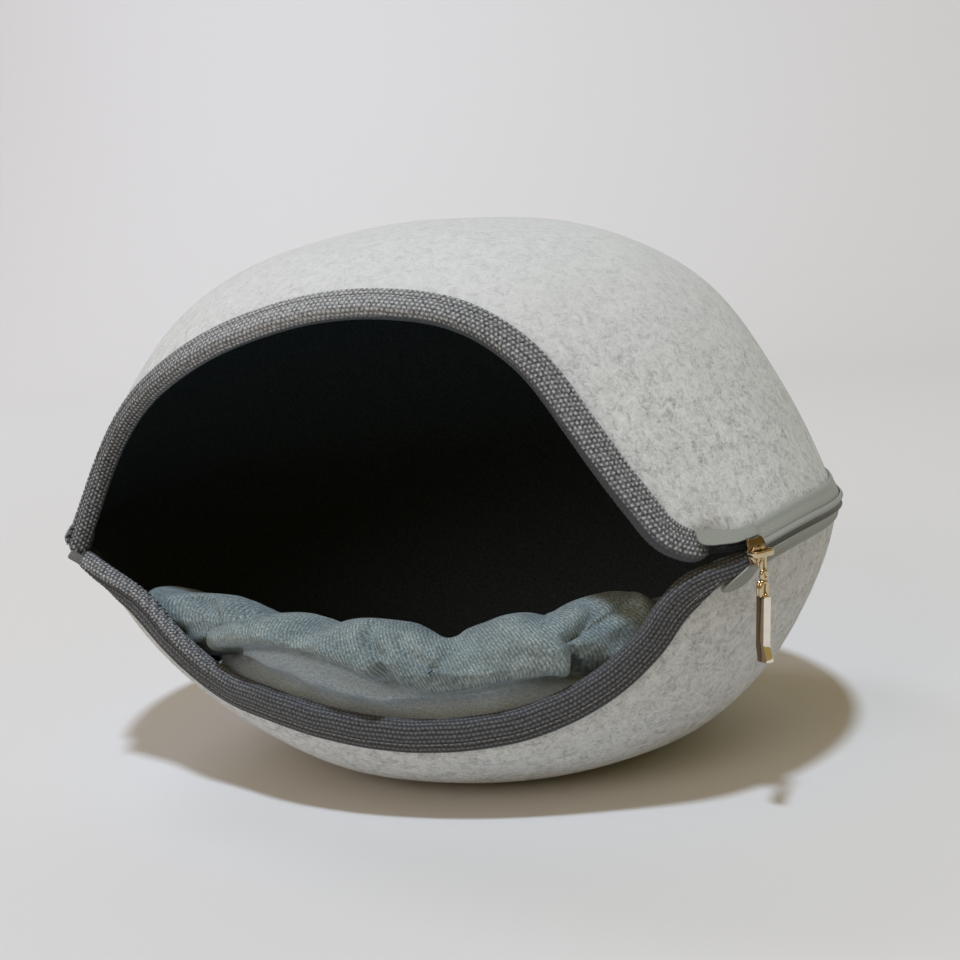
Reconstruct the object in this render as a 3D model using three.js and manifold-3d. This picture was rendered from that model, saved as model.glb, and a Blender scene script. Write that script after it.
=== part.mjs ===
// A felt pet hideout: a moulded felt dome zipped to a moulded felt bowl, both lined in dark cloth.
// The eye-shaped mouth is bound in folded webbing, and a filled cushion lies in the bowl.
// Millimetres, +Z up. The mouth faces -Y, and azimuth is counted from -Y towards +X.
// The origin is the middle of the flat base.
import * as THREE from "three";
import { mergeVertices } from "three/addons/utils/BufferGeometryUtils.js";
import Module from "manifold-3d";

// Driving dimensions of the two shells
const RIM = { halfWidth: 220, halfDepth: 182, height: 142, x: -19, y: -8 };
const CROWN = { x: -15, y: 6, rise: 161 };
const BASE_RADIUS = 70;
const DOME_CURVE = { leanDeg: 23, rimPull: 90, topPull: 157 };
const BOWL_CURVE = { leanDeg: 13.5, rimPull: 102, topPull: 55 };
const FELT = 4;
const LINING = 1.5;
const GAP = 0.35;
const WALL = FELT + GAP + LINING;

// The mouth: its corners sit low on the zip line, and its bound edges roll a little
const CORNER = { azimuth: 62, droop: 13, lowest: 54, spread: 14 };
const LIP_ROLL = { dome: 2, bowl: -8, reach: 30 };
const UPPER_LIP = [
  { azimuth: 56, height: 134 },
  { azimuth: 52, height: 137 },
  { azimuth: 49, height: 143 },
  { azimuth: 46.5, height: 155 },
  { azimuth: 43, height: 174 },
  { azimuth: 39, height: 197 },
  { azimuth: 32.5, height: 228 },
  { azimuth: 22, height: 249 },
  { azimuth: 8, height: 258 },
  { azimuth: -8, height: 259 },
  { azimuth: -24, height: 252 },
  { azimuth: -40, height: 236 },
  { azimuth: -53, height: 213 },
  { azimuth: -59.5, height: 184 },
  { azimuth: -61, height: 158 },
];
const LOWER_LIP = [
  { azimuth: 56, height: 124.5 },
  { azimuth: 52.5, height: 121 },
  { azimuth: 49.5, height: 112 },
  { azimuth: 46, height: 95 },
  { azimuth: 39, height: 75 },
  { azimuth: 28.5, height: 61 },
  { azimuth: 14, height: 54 },
  { azimuth: 0, height: 53.5 },
  { azimuth: -13, height: 58 },
  { azimuth: -26, height: 66 },
  { azimuth: -38.5, height: 77 },
  { azimuth: -47, height: 95 },
  { azimuth: -53, height: 113 },
  { azimuth: -58, height: 123 },
];

// The felt stands fuller on the left of the mouth, from the zip line up over the shoulder
const SHOULDER = { azimuth: -70, spread: 38, bulge: 8, climb: 1 };

// On the right the zip line sags and draws in
const SAG = { azimuth: 105, spread: 30, fall: 6.5, inset: 3, fade: 10 };

// Webbing folded over each lip, and the zip between the two rims
const WEBBING = { thick: 1.3, upperLeg: 11, lowerLeg: 12.5, nose: 1.2, endSetback: 0.008 };
const WEBBING_ENDS = { share: 0.6, over: 0.12 };
const WEBBING_EASE = { outside: 0.6, edge: 0.45, inside: 1.1 };
const ZIP = { upperTape: 6, lowerTape: 8.5, tapeThick: 1.2, chainHalf: 3.4, chainDeep: 1.6 };
const ZIP_BACK = { felt: 4, lining: 3.8 };
const ZIP_ENDS = { slider: 62.6, chain: 293, stop: 294.2, tape: 295.3 };
const STOP = { long: 7, tall: 15, thick: 2 };
const SLIDER = { long: 16, tall: 10, thick: 2.6, bridge: 3, arch: 4.6, bar: 1.5 };
const PULL = { ring: 4.4, wire: 0.9, long: 42, wide: 6.4, thick: 3.6, flare: 1.5, hang: 2, swingDeg: -5 };

// The cushion: a section from its dished middle over its roll and down to the bowl.
// It stands high behind the mouth and low at the back.
const CUSHION = { clear: 0.8, sideClear: 6, middle: 26 };
const CUSHION_FALL = { right: 58, left: 62, over: 30 };
const CUSHION_SECTION = [
  { reach: 0.3, front: 34, back: 27, pucker: 0 },
  { reach: 0.55, front: 56, back: 29, pucker: 0.2 },
  { reach: 0.7, front: 87, back: 32, pucker: 0.7 },
  { reach: 0.8, front: 104, back: 33, pucker: 1 },
  { reach: 0.9, front: 105, back: 31, pucker: 1 },
  { reach: 0.975, front: 93, back: 28, pucker: 0.6 },
  { reach: 0.96, front: 78, back: 25, pucker: 0.2 },
  { reach: 1, front: 64, back: 23, pucker: 0 },
  { reach: 1, front: 47, back: 21, pucker: 0 },
  { reach: 1, front: 30, back: 19, pucker: 0 },
];
// Dips in the roll; one of negative depth stands proud
const PUCKERS = [
  { azimuth: 50, width: 4, depth: 4 },
  { azimuth: 42, width: 7, depth: -8 },
  { azimuth: 35, width: 3.5, depth: 7 },
  { azimuth: 12, width: 4, depth: 9 },
  { azimuth: 10, width: 14, depth: 4 },
  { azimuth: -14, width: 6, depth: 4 },
  { azimuth: -40, width: 4, depth: 5 },
  { azimuth: 100, width: 7, depth: 3 },
  { azimuth: 150, width: 7, depth: 3 },
  { azimuth: 205, width: 7, depth: 3 },
  { azimuth: 255, width: 7, depth: 3 },
];

// How finely the shapes are divided
const LIP_STEPS = 26;
const RIM_STEPS = 38;
const SHELL_ROWS = [0, 0.045, 0.1, 0.18, 0.29, 0.41, 0.54, 0.67, 0.8, 0.91];
const DOME_POLE_BACK = 0.12;
const BOWL_FLAT_FROM = 0.8;
const BOWL_ROWS = [0, 0.05, 0.11, 0.2, 0.3, 0.4, 0.5, 0.59, 0.68, 0.8];
const CUSHION_BED = BOWL_ROWS.slice(7);

const MEAN_RADIUS = (RIM.halfWidth + RIM.halfDepth) / 2;
const OVAL = (RIM.halfWidth - RIM.halfDepth) / (RIM.halfWidth + RIM.halfDepth);
const radians = THREE.MathUtils.degToRad;

const wasm = await Module();
wasm.setup();

// Shell surfaces

function cubic(a, b, c, d, t) {
  const s = 1 - t;
  return s * s * s * a + 3 * s * s * t * b + 3 * s * t * t * c + t * t * t * d;
}

// Radius and rise above the rim, by depth from 0 at the rim to 1 in the middle.
function domeProfile(depth) {
  const { leanDeg, rimPull, topPull } = DOME_CURVE;
  const lean = radians(leanDeg);
  const radius = cubic(MEAN_RADIUS, MEAN_RADIUS - rimPull * Math.sin(lean), topPull, 0, depth);
  const rise = cubic(0, rimPull * Math.cos(lean), CROWN.rise, CROWN.rise, depth);
  return { radius, rise };
}

function bowlProfile(depth) {
  const { leanDeg, rimPull, topPull } = BOWL_CURVE;
  if (depth > BOWL_FLAT_FROM) {
    return { radius: (BASE_RADIUS * (1 - depth)) / (1 - BOWL_FLAT_FROM), rise: -RIM.height };
  }
  const lean = radians(leanDeg);
  const t = depth / BOWL_FLAT_FROM;
  const pull = MEAN_RADIUS - rimPull * Math.sin(lean);
  const radius = cubic(MEAN_RADIUS, pull, BASE_RADIUS + topPull, BASE_RADIUS, t);
  const rise = -cubic(0, rimPull * Math.cos(lean), RIM.height, RIM.height, t);
  return { radius, rise };
}

// A soft hump of height one round an azimuth; both angles of the hump are in degrees.
function hump(azimuth, centre, spread) {
  const turn = azimuth - radians(centre);
  const away = Math.atan2(Math.sin(turn), Math.cos(turn)) / radians(spread);
  return Math.exp(-away * away);
}

function cornerDroop(azimuth) {
  const { lowest, spread, droop } = CORNER;
  return droop * (hump(azimuth, lowest, spread) + hump(azimuth, -lowest, spread));
}

function shoulder(shell, azimuth, radius, share) {
  const swell = shell.side > 0 ? 1 + SHOULDER.climb * share : (1 - share) ** 5;
  const near = hump(azimuth, SHOULDER.azimuth, SHOULDER.spread);
  return (SHOULDER.bulge * near * swell * radius) / MEAN_RADIUS;
}

// The moulded surface before its lip is rolled.
function mouldedPoint(shell, azimuth, depth) {
  const { radius, rise } = shell.profile(depth);
  const share = rise / shell.rise;
  const oval = 1 - OVAL * Math.cos(2 * azimuth) * (radius / MEAN_RADIUS) ** 3;
  const sag = hump(azimuth, SAG.azimuth, SAG.spread) * (1 - share) ** SAG.fade;
  const reach = radius * oval + shoulder(shell, azimuth, radius, share) - SAG.inset * sag;
  return new THREE.Vector3(
    RIM.x + reach * Math.sin(azimuth) + (shell.x - RIM.x) * share,
    RIM.y - reach * Math.cos(azimuth) + (shell.y - RIM.y) * share,
    RIM.height + rise - cornerDroop(azimuth) * (1 - share) ** 2 - SAG.fall * sag,
  );
}

// A chart spreads a shell flat: its rim is the unit circle and its middle is the chart's centre.
function chartOf(azimuth, depth) {
  return new THREE.Vector2(Math.sin(azimuth), -Math.cos(azimuth)).multiplyScalar(1 - depth);
}

function shellPoint(shell, chart) {
  const azimuth = Math.atan2(chart.x, -chart.y);
  const point = mouldedPoint(shell, azimuth, 1 - chart.length());
  let nearest = LIP_ROLL.reach;
  let fade = 0;
  shell.lipLine.forEach((edge, i) => {
    const distance = edge.distanceTo(point);
    if (distance > nearest) return;
    const share = i / (shell.lipLine.length - 1);
    fade = Math.min(1, 5 * share * (1 - share));
    nearest = distance;
  });
  const roll = shell.roll * fade * (1 - nearest / LIP_ROLL.reach) ** 2;
  point.x += roll * Math.sin(azimuth);
  point.y -= roll * Math.cos(azimuth);
  return point;
}

const NORMAL_STEP = 0.004;
const NORMAL_SETBACK = 0.02;

// The outward normal, taken a little way in from the lip.
function shellNormal(shell, chart) {
  const inward = shell.pole.clone().sub(chart);
  const from = chart.clone().addScaledVector(inward, NORMAL_SETBACK);
  const across = shellPoint(shell, from.clone().add(new THREE.Vector2(NORMAL_STEP, 0)));
  across.sub(shellPoint(shell, from.clone().add(new THREE.Vector2(-NORMAL_STEP, 0))));
  const along = shellPoint(shell, from.clone().add(new THREE.Vector2(0, NORMAL_STEP)));
  along.sub(shellPoint(shell, from.clone().add(new THREE.Vector2(0, -NORMAL_STEP))));
  return across.cross(along).multiplyScalar(shell.side).normalize();
}

function depthAtHeight(shell, azimuth, height) {
  let low = 0;
  let high = 1;
  for (let step = 0; step < 40; step += 1) {
    const middle = (low + high) / 2;
    const above = mouldedPoint(shell, azimuth, middle).z > height;
    if (above === shell.rise > 0) high = middle;
    else low = middle;
  }
  return (low + high) / 2;
}

function makeShell(options, lip) {
  const shell = { ...options, lipLine: [] };
  shell.rimDepth = ZIP_BACK.felt / shell.rimSpeed;
  const corner = radians(CORNER.azimuth);
  const points = lip.map(({ azimuth, height }) => {
    const turn = radians(azimuth);
    return chartOf(turn, depthAtHeight(shell, turn, height));
  });
  points.unshift(chartOf(corner, shell.rimDepth));
  points.push(chartOf(-corner, shell.rimDepth));
  shell.lip = new THREE.SplineCurve(points);
  const fine = shell.lip.getSpacedPoints(4 * LIP_STEPS);
  const onFelt = (chart) => mouldedPoint(shell, Math.atan2(chart.x, -chart.y), 1 - chart.length());
  shell.lipLine = fine.map(onFelt);
  return shell;
}

const dome = makeShell(
  {
    profile: domeProfile,
    rise: CROWN.rise,
    x: CROWN.x,
    y: CROWN.y,
    side: 1,
    roll: LIP_ROLL.dome,
    rimSpeed: 3 * DOME_CURVE.rimPull,
    pole: new THREE.Vector2(0, DOME_POLE_BACK),
    rows: SHELL_ROWS,
  },
  UPPER_LIP,
);
const bowl = makeShell(
  {
    profile: bowlProfile,
    rise: -RIM.height,
    x: 0,
    y: 0,
    side: -1,
    roll: LIP_ROLL.bowl,
    rimSpeed: (3 * BOWL_CURVE.rimPull) / BOWL_FLAT_FROM,
    pole: new THREE.Vector2(0, 0),
    rows: BOWL_ROWS,
  },
  LOWER_LIP,
);

// Closed solids from rings and strips of points

function geometryOf(points, faces) {
  const geometry = new THREE.BufferGeometry().setFromPoints(points);
  geometry.setIndex(faces);
  geometry.computeVertexNormals();
  return geometry;
}

// A closed skin from one end point, over rings of equal length, to another end point.
// The quads before the turn are split along their other diagonal, so that layers stay parallel.
function skin(start, rings, end, turn = 0) {
  const count = rings[0].length;
  const points = [start, ...rings.flat(), end];
  const at = (ring, i) => 1 + ring * count + (i % count);
  const faces = [];
  for (let i = 0; i < count; i += 1) {
    faces.push(0, at(0, i + 1), at(0, i));
    for (let ring = 0; ring + 1 < rings.length; ring += 1) {
      const near = ring < turn ? at(ring + 1, i + 1) : at(ring + 1, i);
      const far = ring < turn ? at(ring, i) : at(ring, i + 1);
      faces.push(at(ring, i), at(ring, i + 1), near);
      faces.push(far, at(ring + 1, i + 1), at(ring + 1, i));
    }
    faces.push(at(rings.length - 1, i), at(rings.length - 1, i + 1), points.length - 1);
  }
  return geometryOf(points, faces);
}

// A strip of some thickness: each station has a face and a back of equal length.
function strip(stations) {
  const count = stations[0].face.length;
  const loops = stations.map(({ face, back }) => [...face, ...back.slice().reverse()]);
  const points = loops.flat();
  const at = (station, i) => station * 2 * count + (i % (2 * count));
  const last = stations.length - 1;
  const faces = [];
  for (let station = 0; station < last; station += 1) {
    for (let i = 0; i < 2 * count; i += 1) {
      faces.push(at(station, i), at(station + 1, i), at(station, i + 1));
      faces.push(at(station, i + 1), at(station + 1, i), at(station + 1, i + 1));
    }
  }
  for (let i = 0; i + 1 < count; i += 1) {
    const mirror = 2 * count - 1 - i;
    faces.push(at(0, i), at(0, i + 1), at(0, mirror));
    faces.push(at(0, i + 1), at(0, mirror - 1), at(0, mirror));
    faces.push(at(last, i), at(last, mirror), at(last, i + 1));
    faces.push(at(last, i + 1), at(last, mirror), at(last, mirror - 1));
  }
  return geometryOf(points, faces);
}

function facingOut(geometry) {
  const index = geometry.index.array;
  const position = geometry.getAttribute("position");
  const corner = (i) => new THREE.Vector3().fromBufferAttribute(position, index[i]);
  let volume = 0;
  for (let i = 0; i < index.length; i += 3) {
    volume += corner(i).dot(corner(i + 1).cross(corner(i + 2)));
  }
  if (volume < 0) {
    for (let i = 0; i < index.length; i += 3) {
      [index[i + 1], index[i + 2]] = [index[i + 2], index[i + 1]];
    }
    geometry.computeVertexNormals();
  }
  return geometry;
}

// Two closed geometries joined into one.
function joined(first, second) {
  const solid = (geometry) => {
    const bare = geometry.clone();
    bare.deleteAttribute("normal");
    bare.deleteAttribute("uv");
    const merged = mergeVertices(bare, 1e-3);
    const triVerts = new Uint32Array(merged.index.array);
    const vertProperties = merged.getAttribute("position").array;
    return new wasm.Manifold(new wasm.Mesh({ numProp: 3, vertProperties, triVerts }));
  };
  const mesh = solid(first).add(solid(second)).getMesh();
  const geometry = new THREE.BufferGeometry();
  geometry.setAttribute("position", new THREE.BufferAttribute(mesh.vertProperties, 3));
  geometry.setIndex(new THREE.BufferAttribute(mesh.triVerts, 1));
  geometry.computeVertexNormals();
  return geometry;
}

// Felt and lining

// The edge of a shell all the way round, lip first and then the rim round the back.
function edgeLoop(shell, rimBack = ZIP_BACK.felt) {
  const corner = CORNER.azimuth;
  const back = 360 - 2 * corner;
  const rim = Array.from({ length: RIM_STEPS - 1 }, (_, i) => {
    const azimuth = radians(-corner - (back * (i + 1)) / RIM_STEPS);
    return chartOf(azimuth, rimBack / shell.rimSpeed);
  });
  return [...shell.lip.getSpacedPoints(LIP_STEPS), ...rim];
}

// A layer of the wall, from one offset off the outer surface to another.
function wallLayer(shell, outside, inside, rimBack) {
  const edge = edgeLoop(shell, rimBack);
  const offset = (chart, by) => {
    return shellPoint(shell, chart).addScaledVector(shellNormal(shell, chart), by);
  };
  const ring = (share, by) => edge.map((chart) => offset(chart.clone().lerp(shell.pole, share), by));
  const outer = shell.rows.map((share) => ring(share, outside));
  const inner = shell.rows.map((share) => ring(share, inside));
  const rings = [...inner.reverse(), ...outer];
  const ends = [offset(shell.pole, inside), offset(shell.pole, outside)];
  return facingOut(skin(ends[0], rings, ends[1], inner.length));
}

// Webbing folded over a lip

// The point of the shell that lies level with a given point, at the same azimuth.
function settle(shell, point) {
  const share = (point.z - RIM.height) / shell.rise;
  const x = point.x - RIM.x - (shell.x - RIM.x) * share;
  const y = point.y - RIM.y - (shell.y - RIM.y) * share;
  const azimuth = Math.atan2(x, -y);
  return chartOf(azimuth, depthAtHeight(shell, azimuth, point.z));
}

function bindingStation(shell, share, leg) {
  const chart = shell.lip.getPointAt(share);
  const ahead = shell.lip.getPointAt(Math.min(share + 0.005, 1));
  const behind = shell.lip.getPointAt(Math.max(share - 0.005, 0));
  const lipPoint = shellPoint(shell, chart);
  const normal = shellNormal(shell, chart);
  const along = shellPoint(shell, ahead).sub(shellPoint(shell, behind)).normalize();
  const into = normal.clone().cross(along).multiplyScalar(-shell.side).normalize();
  const thick = WEBBING.thick;
  const legPoint = (reach, by) => {
    const spot = settle(shell, lipPoint.clone().addScaledVector(into, reach));
    return shellPoint(shell, spot).addScaledVector(shellNormal(shell, spot), by);
  };
  const edgePoint = (out, beyond) => {
    return lipPoint.clone().addScaledVector(normal, out).addScaledVector(into, -beyond);
  };
  const outLeg = (by) => [legPoint(leg, by), legPoint(leg / 2, by)];
  const inLeg = (by) => [legPoint(leg / 2, by), legPoint(leg, by)];
  const { outside, edge, inside } = WEBBING_EASE;
  const face = [
    ...outLeg(outside + thick),
    edgePoint(outside + thick, 0),
    edgePoint(0.2, edge + thick),
    edgePoint(-WALL / 2, edge + thick + WEBBING.nose),
    edgePoint(-WALL - 0.2, edge + thick),
    edgePoint(-WALL - inside - thick, 0),
    ...inLeg(-WALL - inside - thick),
  ];
  const back = [
    ...outLeg(outside),
    edgePoint(outside, 0),
    edgePoint(0, edge),
    edgePoint(-WALL / 2, edge),
    edgePoint(-WALL, edge),
    edgePoint(-WALL - inside, 0),
    ...inLeg(-WALL - inside),
  ];
  return { face, back };
}

function binding(shell, leg) {
  const stations = [];
  for (let step = 0; step <= LIP_STEPS; step += 1) {
    const share = THREE.MathUtils.clamp(step / LIP_STEPS, WEBBING.endSetback, 1 - WEBBING.endSetback);
    const fromEnd = THREE.MathUtils.smoothstep(Math.min(share, 1 - share), 0, WEBBING_ENDS.over);
    stations.push(bindingStation(shell, share, leg * THREE.MathUtils.lerp(WEBBING_ENDS.share, 1, fromEnd)));
  }
  return facingOut(strip(stations));
}

// The zip

function zipAzimuths(end) {
  const corner = CORNER.azimuth;
  const pitch = (360 - 2 * corner) / RIM_STEPS;
  const between = Array.from({ length: RIM_STEPS + 1 }, (_, i) => corner + i * pitch);
  const inside = between.filter((a) => a > ZIP_ENDS.slider + 2 && a < end - 2);
  return [ZIP_ENDS.slider, ...inside, end].map(radians);
}

function zipTape(shell, wide) {
  const edgeDepth = GAP / shell.rimSpeed;
  const feltDepth = (ZIP_BACK.felt + wide) / shell.rimSpeed;
  const depths = [edgeDepth, shell.rimDepth, feltDepth];
  const stations = zipAzimuths(ZIP_ENDS.tape).map((azimuth) => {
    const row = (by) => {
      return depths.map((depth) => {
        const chart = chartOf(azimuth, depth);
        return shellPoint(shell, chart).addScaledVector(shellNormal(shell, chart), by);
      });
    };
    return { face: row(GAP + ZIP.tapeThick), back: row(GAP) };
  });
  return facingOut(strip(stations));
}

// A spot on the zip line, with the ways out from the body, along the zip and up.
function rimFrame(azimuth) {
  const point = mouldedPoint(dome, azimuth, 0);
  const along = mouldedPoint(dome, azimuth + 0.01, 0).sub(mouldedPoint(dome, azimuth - 0.01, 0));
  along.setZ(0).normalize();
  const up = new THREE.Vector3(0, 0, 1);
  const out = along.clone().cross(up).normalize();
  const place = (a, o, u) => {
    return point.clone().addScaledVector(along, a).addScaledVector(out, o).addScaledVector(up, u);
  };
  return { place, matrix: new THREE.Matrix4().makeBasis(along, up, out).setPosition(point) };
}

const CHAIN_SEAT = 3 * GAP + ZIP.tapeThick;
const SLIDER_SEAT = CHAIN_SEAT + ZIP.chainDeep + GAP;

function zipChain() {
  const half = ZIP.chainHalf;
  const outer = CHAIN_SEAT + ZIP.chainDeep;
  const stations = zipAzimuths(ZIP_ENDS.chain).map((azimuth) => {
    const { place } = rimFrame(azimuth);
    const across = [1, 0.5, -0.5, -1].map((share) => share * half);
    const rises = [CHAIN_SEAT + 0.8, outer, outer, CHAIN_SEAT + 0.8];
    const face = across.map((up, i) => place(0, rises[i], up));
    const back = across.map((up) => place(0, CHAIN_SEAT, up));
    return { face, back };
  });
  return facingOut(strip(stations));
}

function rounded(long, tall, radius) {
  const shape = new THREE.Shape();
  const x = long / 2;
  const y = tall / 2;
  shape.moveTo(x, -y + radius);
  shape.absarc(x - radius, y - radius, radius, 0, Math.PI / 2);
  shape.absarc(-x + radius, y - radius, radius, Math.PI / 2, Math.PI);
  shape.absarc(-x + radius, -y + radius, radius, Math.PI, 1.5 * Math.PI);
  shape.absarc(x - radius, -y + radius, radius, 1.5 * Math.PI, 2 * Math.PI);
  return shape;
}

function plate(shape, thick) {
  return new THREE.ExtrudeGeometry(shape, { depth: thick, bevelEnabled: false, curveSegments: 4 });
}

// Local axes on the zip line: X along the zip, Y up, Z out from the body.
function zipSlider() {
  const body = plate(rounded(SLIDER.long, SLIDER.tall, 3), SLIDER.thick);
  const foot = SLIDER.long / 2 - 2;
  const arch = new THREE.Shape();
  arch.moveTo(-foot, -0.5);
  arch.lineTo(-foot, SLIDER.arch * 0.6);
  arch.quadraticCurveTo(-foot, SLIDER.arch, -foot + 3, SLIDER.arch);
  arch.lineTo(foot - 3, SLIDER.arch);
  arch.quadraticCurveTo(foot, SLIDER.arch, foot, SLIDER.arch * 0.6);
  arch.lineTo(foot, -0.5);
  arch.lineTo(foot - SLIDER.bar, -0.5);
  arch.lineTo(foot - SLIDER.bar, SLIDER.arch - SLIDER.bar);
  arch.lineTo(-foot + SLIDER.bar, SLIDER.arch - SLIDER.bar);
  arch.lineTo(-foot + SLIDER.bar, -0.5);
  const bridge = plate(arch, SLIDER.bridge);
  bridge.rotateX(Math.PI / 2).translate(0, SLIDER.bridge / 2, SLIDER.thick);
  const geometry = joined(body, bridge);
  geometry.translate(0, 0, SLIDER_SEAT);
  return geometry.applyMatrix4(rimFrame(radians(ZIP_ENDS.slider)).matrix);
}

function zipPull() {
  const top = -SLIDER.bridge / 2 - GAP;
  const outline = new THREE.Shape();
  const half = PULL.wide / 2;
  const foot = top - 2 * PULL.ring - PULL.long;
  outline.moveTo(-half * 0.55, top - 2 * PULL.ring + 1);
  outline.lineTo(-half, top - 2 * PULL.ring - 6);
  outline.lineTo(-half - PULL.flare / 2, foot + 4);
  outline.quadraticCurveTo(-half - PULL.flare, foot, 0, foot);
  outline.quadraticCurveTo(half + PULL.flare, foot, half + PULL.flare / 2, foot + 4);
  outline.lineTo(half, top - 2 * PULL.ring - 6);
  outline.lineTo(half * 0.55, top - 2 * PULL.ring + 1);
  const blade = plate(outline, PULL.thick);
  const ring = new THREE.TorusGeometry(PULL.ring - PULL.wire, PULL.wire, 8, 20);
  ring.translate(0, top - PULL.ring, PULL.thick / 2);
  const geometry = joined(blade, ring);
  geometry.translate(0, -top, 0).rotateZ(radians(PULL.swingDeg)).translate(0, top, 0);
  geometry.translate(0, 0, SLIDER_SEAT + SLIDER.thick + PULL.hang);
  return geometry.applyMatrix4(rimFrame(radians(ZIP_ENDS.slider)).matrix);
}

function zipStop() {
  const geometry = plate(rounded(STOP.long, STOP.tall, 1.5), STOP.thick);
  geometry.translate(0, 0, CHAIN_SEAT - 2 * GAP);
  return geometry.applyMatrix4(rimFrame(radians(ZIP_ENDS.stop)).matrix);
}

// The cushion

function puckerDepth(azimuth) {
  const depths = PUCKERS.map((pucker) => pucker.depth * hump(azimuth, pucker.azimuth, pucker.width));
  return depths.reduce((sum, depth) => sum + depth, 0);
}

// From 0 where the cushion stands high to 1 where it lies low.
function cushionFall(azimuth) {
  const turn = THREE.MathUtils.radToDeg(Math.abs(azimuth));
  const from = azimuth > 0 ? CUSHION_FALL.right : CUSHION_FALL.left;
  return THREE.MathUtils.smoothstep(turn, from, from + CUSHION_FALL.over);
}

// The bowl's inside, drawn in by a clearance.
function bowlInside(chart, clearance) {
  return shellPoint(bowl, chart).addScaledVector(shellNormal(bowl, chart), -WALL - clearance);
}

// The same at a height: the outer spot lies lower by as much as the drawing in lifts it.
function bowlInsideAt(azimuth, height, clearance) {
  const spotAt = (level) => chartOf(azimuth, depthAtHeight(bowl, azimuth, level));
  const fall = shellNormal(bowl, spotAt(height)).z * (WALL + clearance);
  return bowlInside(spotAt(height + fall), clearance);
}

function cushion() {
  const edge = edgeLoop(bowl);
  const azimuths = edge.map((chart) => Math.atan2(chart.x, -chart.y));
  const middle = new THREE.Vector3(0, 0, CUSHION.middle);
  const rings = CUSHION_SECTION.map(({ reach, front, back, pucker }) => {
    return azimuths.map((azimuth) => {
      const level = THREE.MathUtils.lerp(front, back, cushionFall(azimuth)) - pucker * puckerDepth(azimuth);
      const wall = bowlInsideAt(azimuth, level, CUSHION.sideClear);
      return new THREE.Vector3(wall.x * reach, wall.y * reach, level);
    });
  });
  const bed = CUSHION_BED.map((share) => {
    return edge.map((chart) => bowlInside(chart.clone().lerp(bowl.pole, share), CUSHION.clear));
  });
  const under = new THREE.Vector3(0, 0, WALL + CUSHION.clear);
  return facingOut(skin(middle, [...rings, ...bed], under));
}

// Materials and the finished object

function finish(color, roughness, metalness) {
  return new THREE.MeshStandardMaterial({ color, roughness, metalness });
}

const hideout = new THREE.Group();

function addPart(name, geometry, material) {
  const mesh = new THREE.Mesh(geometry, material);
  mesh.name = name;
  hideout.add(mesh);
}

addPart("dome_felt", wallLayer(dome, 0, -FELT, ZIP_BACK.felt), finish(0xc9c8c4, 0.95, 0));
addPart("bowl_felt", wallLayer(bowl, 0, -FELT, ZIP_BACK.felt), finish(0xc9c8c4, 0.95, 0));
addPart("dome_lining", wallLayer(dome, -FELT - GAP, -WALL, ZIP_BACK.lining), finish(0x1d1e20, 0.95, 0));
addPart("bowl_lining", wallLayer(bowl, -FELT - GAP, -WALL, ZIP_BACK.lining), finish(0x1d1e20, 0.95, 0));
addPart("upper_binding", binding(dome, WEBBING.upperLeg), finish(0x55565a, 0.85, 0));
addPart("lower_binding", binding(bowl, WEBBING.lowerLeg), finish(0x55565a, 0.85, 0));
addPart("upper_zip_tape", zipTape(dome, ZIP.upperTape), finish(0xa9aeac, 0.85, 0));
addPart("lower_zip_tape", zipTape(bowl, ZIP.lowerTape), finish(0xa9aeac, 0.85, 0));
addPart("zip_chain", zipChain(), finish(0xb4b9b7, 0.55, 0));
addPart("zip_slider", zipSlider(), finish(0xd8cdb4, 0.18, 1));
addPart("zip_pull", zipPull(), finish(0xd8cdb4, 0.18, 1));
addPart("zip_end_stop", zipStop(), finish(0x6a6c6f, 0.6, 0));
addPart("cushion", cushion(), finish(0x93a3aa, 0.9, 0));

export default hideout;
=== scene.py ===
"""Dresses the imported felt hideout: moulded felt, dark lining, webbing, zip and filled cushion.

Lengths in the dataclasses are millimetres and angles are degrees. Meshes are made in metres, in the
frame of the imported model: +Z up, the mouth towards -Y, azimuth counted from -Y towards +X.
"""

from __future__ import annotations

import logging
import math
from dataclasses import dataclass, field
from enum import Enum
from typing import Callable

import bpy
import numpy as np
from mathutils import Matrix, Vector

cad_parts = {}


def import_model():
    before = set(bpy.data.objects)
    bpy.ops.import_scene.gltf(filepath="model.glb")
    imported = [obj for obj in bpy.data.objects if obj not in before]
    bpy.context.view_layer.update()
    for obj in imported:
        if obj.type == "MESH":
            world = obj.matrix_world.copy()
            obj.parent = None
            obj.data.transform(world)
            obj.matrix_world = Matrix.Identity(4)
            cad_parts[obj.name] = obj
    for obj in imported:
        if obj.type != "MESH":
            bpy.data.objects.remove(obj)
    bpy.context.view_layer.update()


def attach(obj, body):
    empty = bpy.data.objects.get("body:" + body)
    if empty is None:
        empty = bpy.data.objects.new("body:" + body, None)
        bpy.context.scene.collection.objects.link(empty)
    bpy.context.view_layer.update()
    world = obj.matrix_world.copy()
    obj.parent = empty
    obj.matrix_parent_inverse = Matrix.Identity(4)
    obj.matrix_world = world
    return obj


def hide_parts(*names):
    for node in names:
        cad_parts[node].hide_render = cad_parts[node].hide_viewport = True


LOG = logging.getLogger("hideout")
MM = 0.001
BATCH = 8000
Array = np.ndarray
Place = Callable[[Array, Array], Array]
Triple = tuple[float, float, float]
Piece = bpy.types.Object
Material = bpy.types.Material
Socket = bpy.types.NodeSocket


class Half(Enum):
    """The two moulded halves of the cave, with the way that each one rises from the rim."""

    DOME = 1
    BOWL = -1


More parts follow.
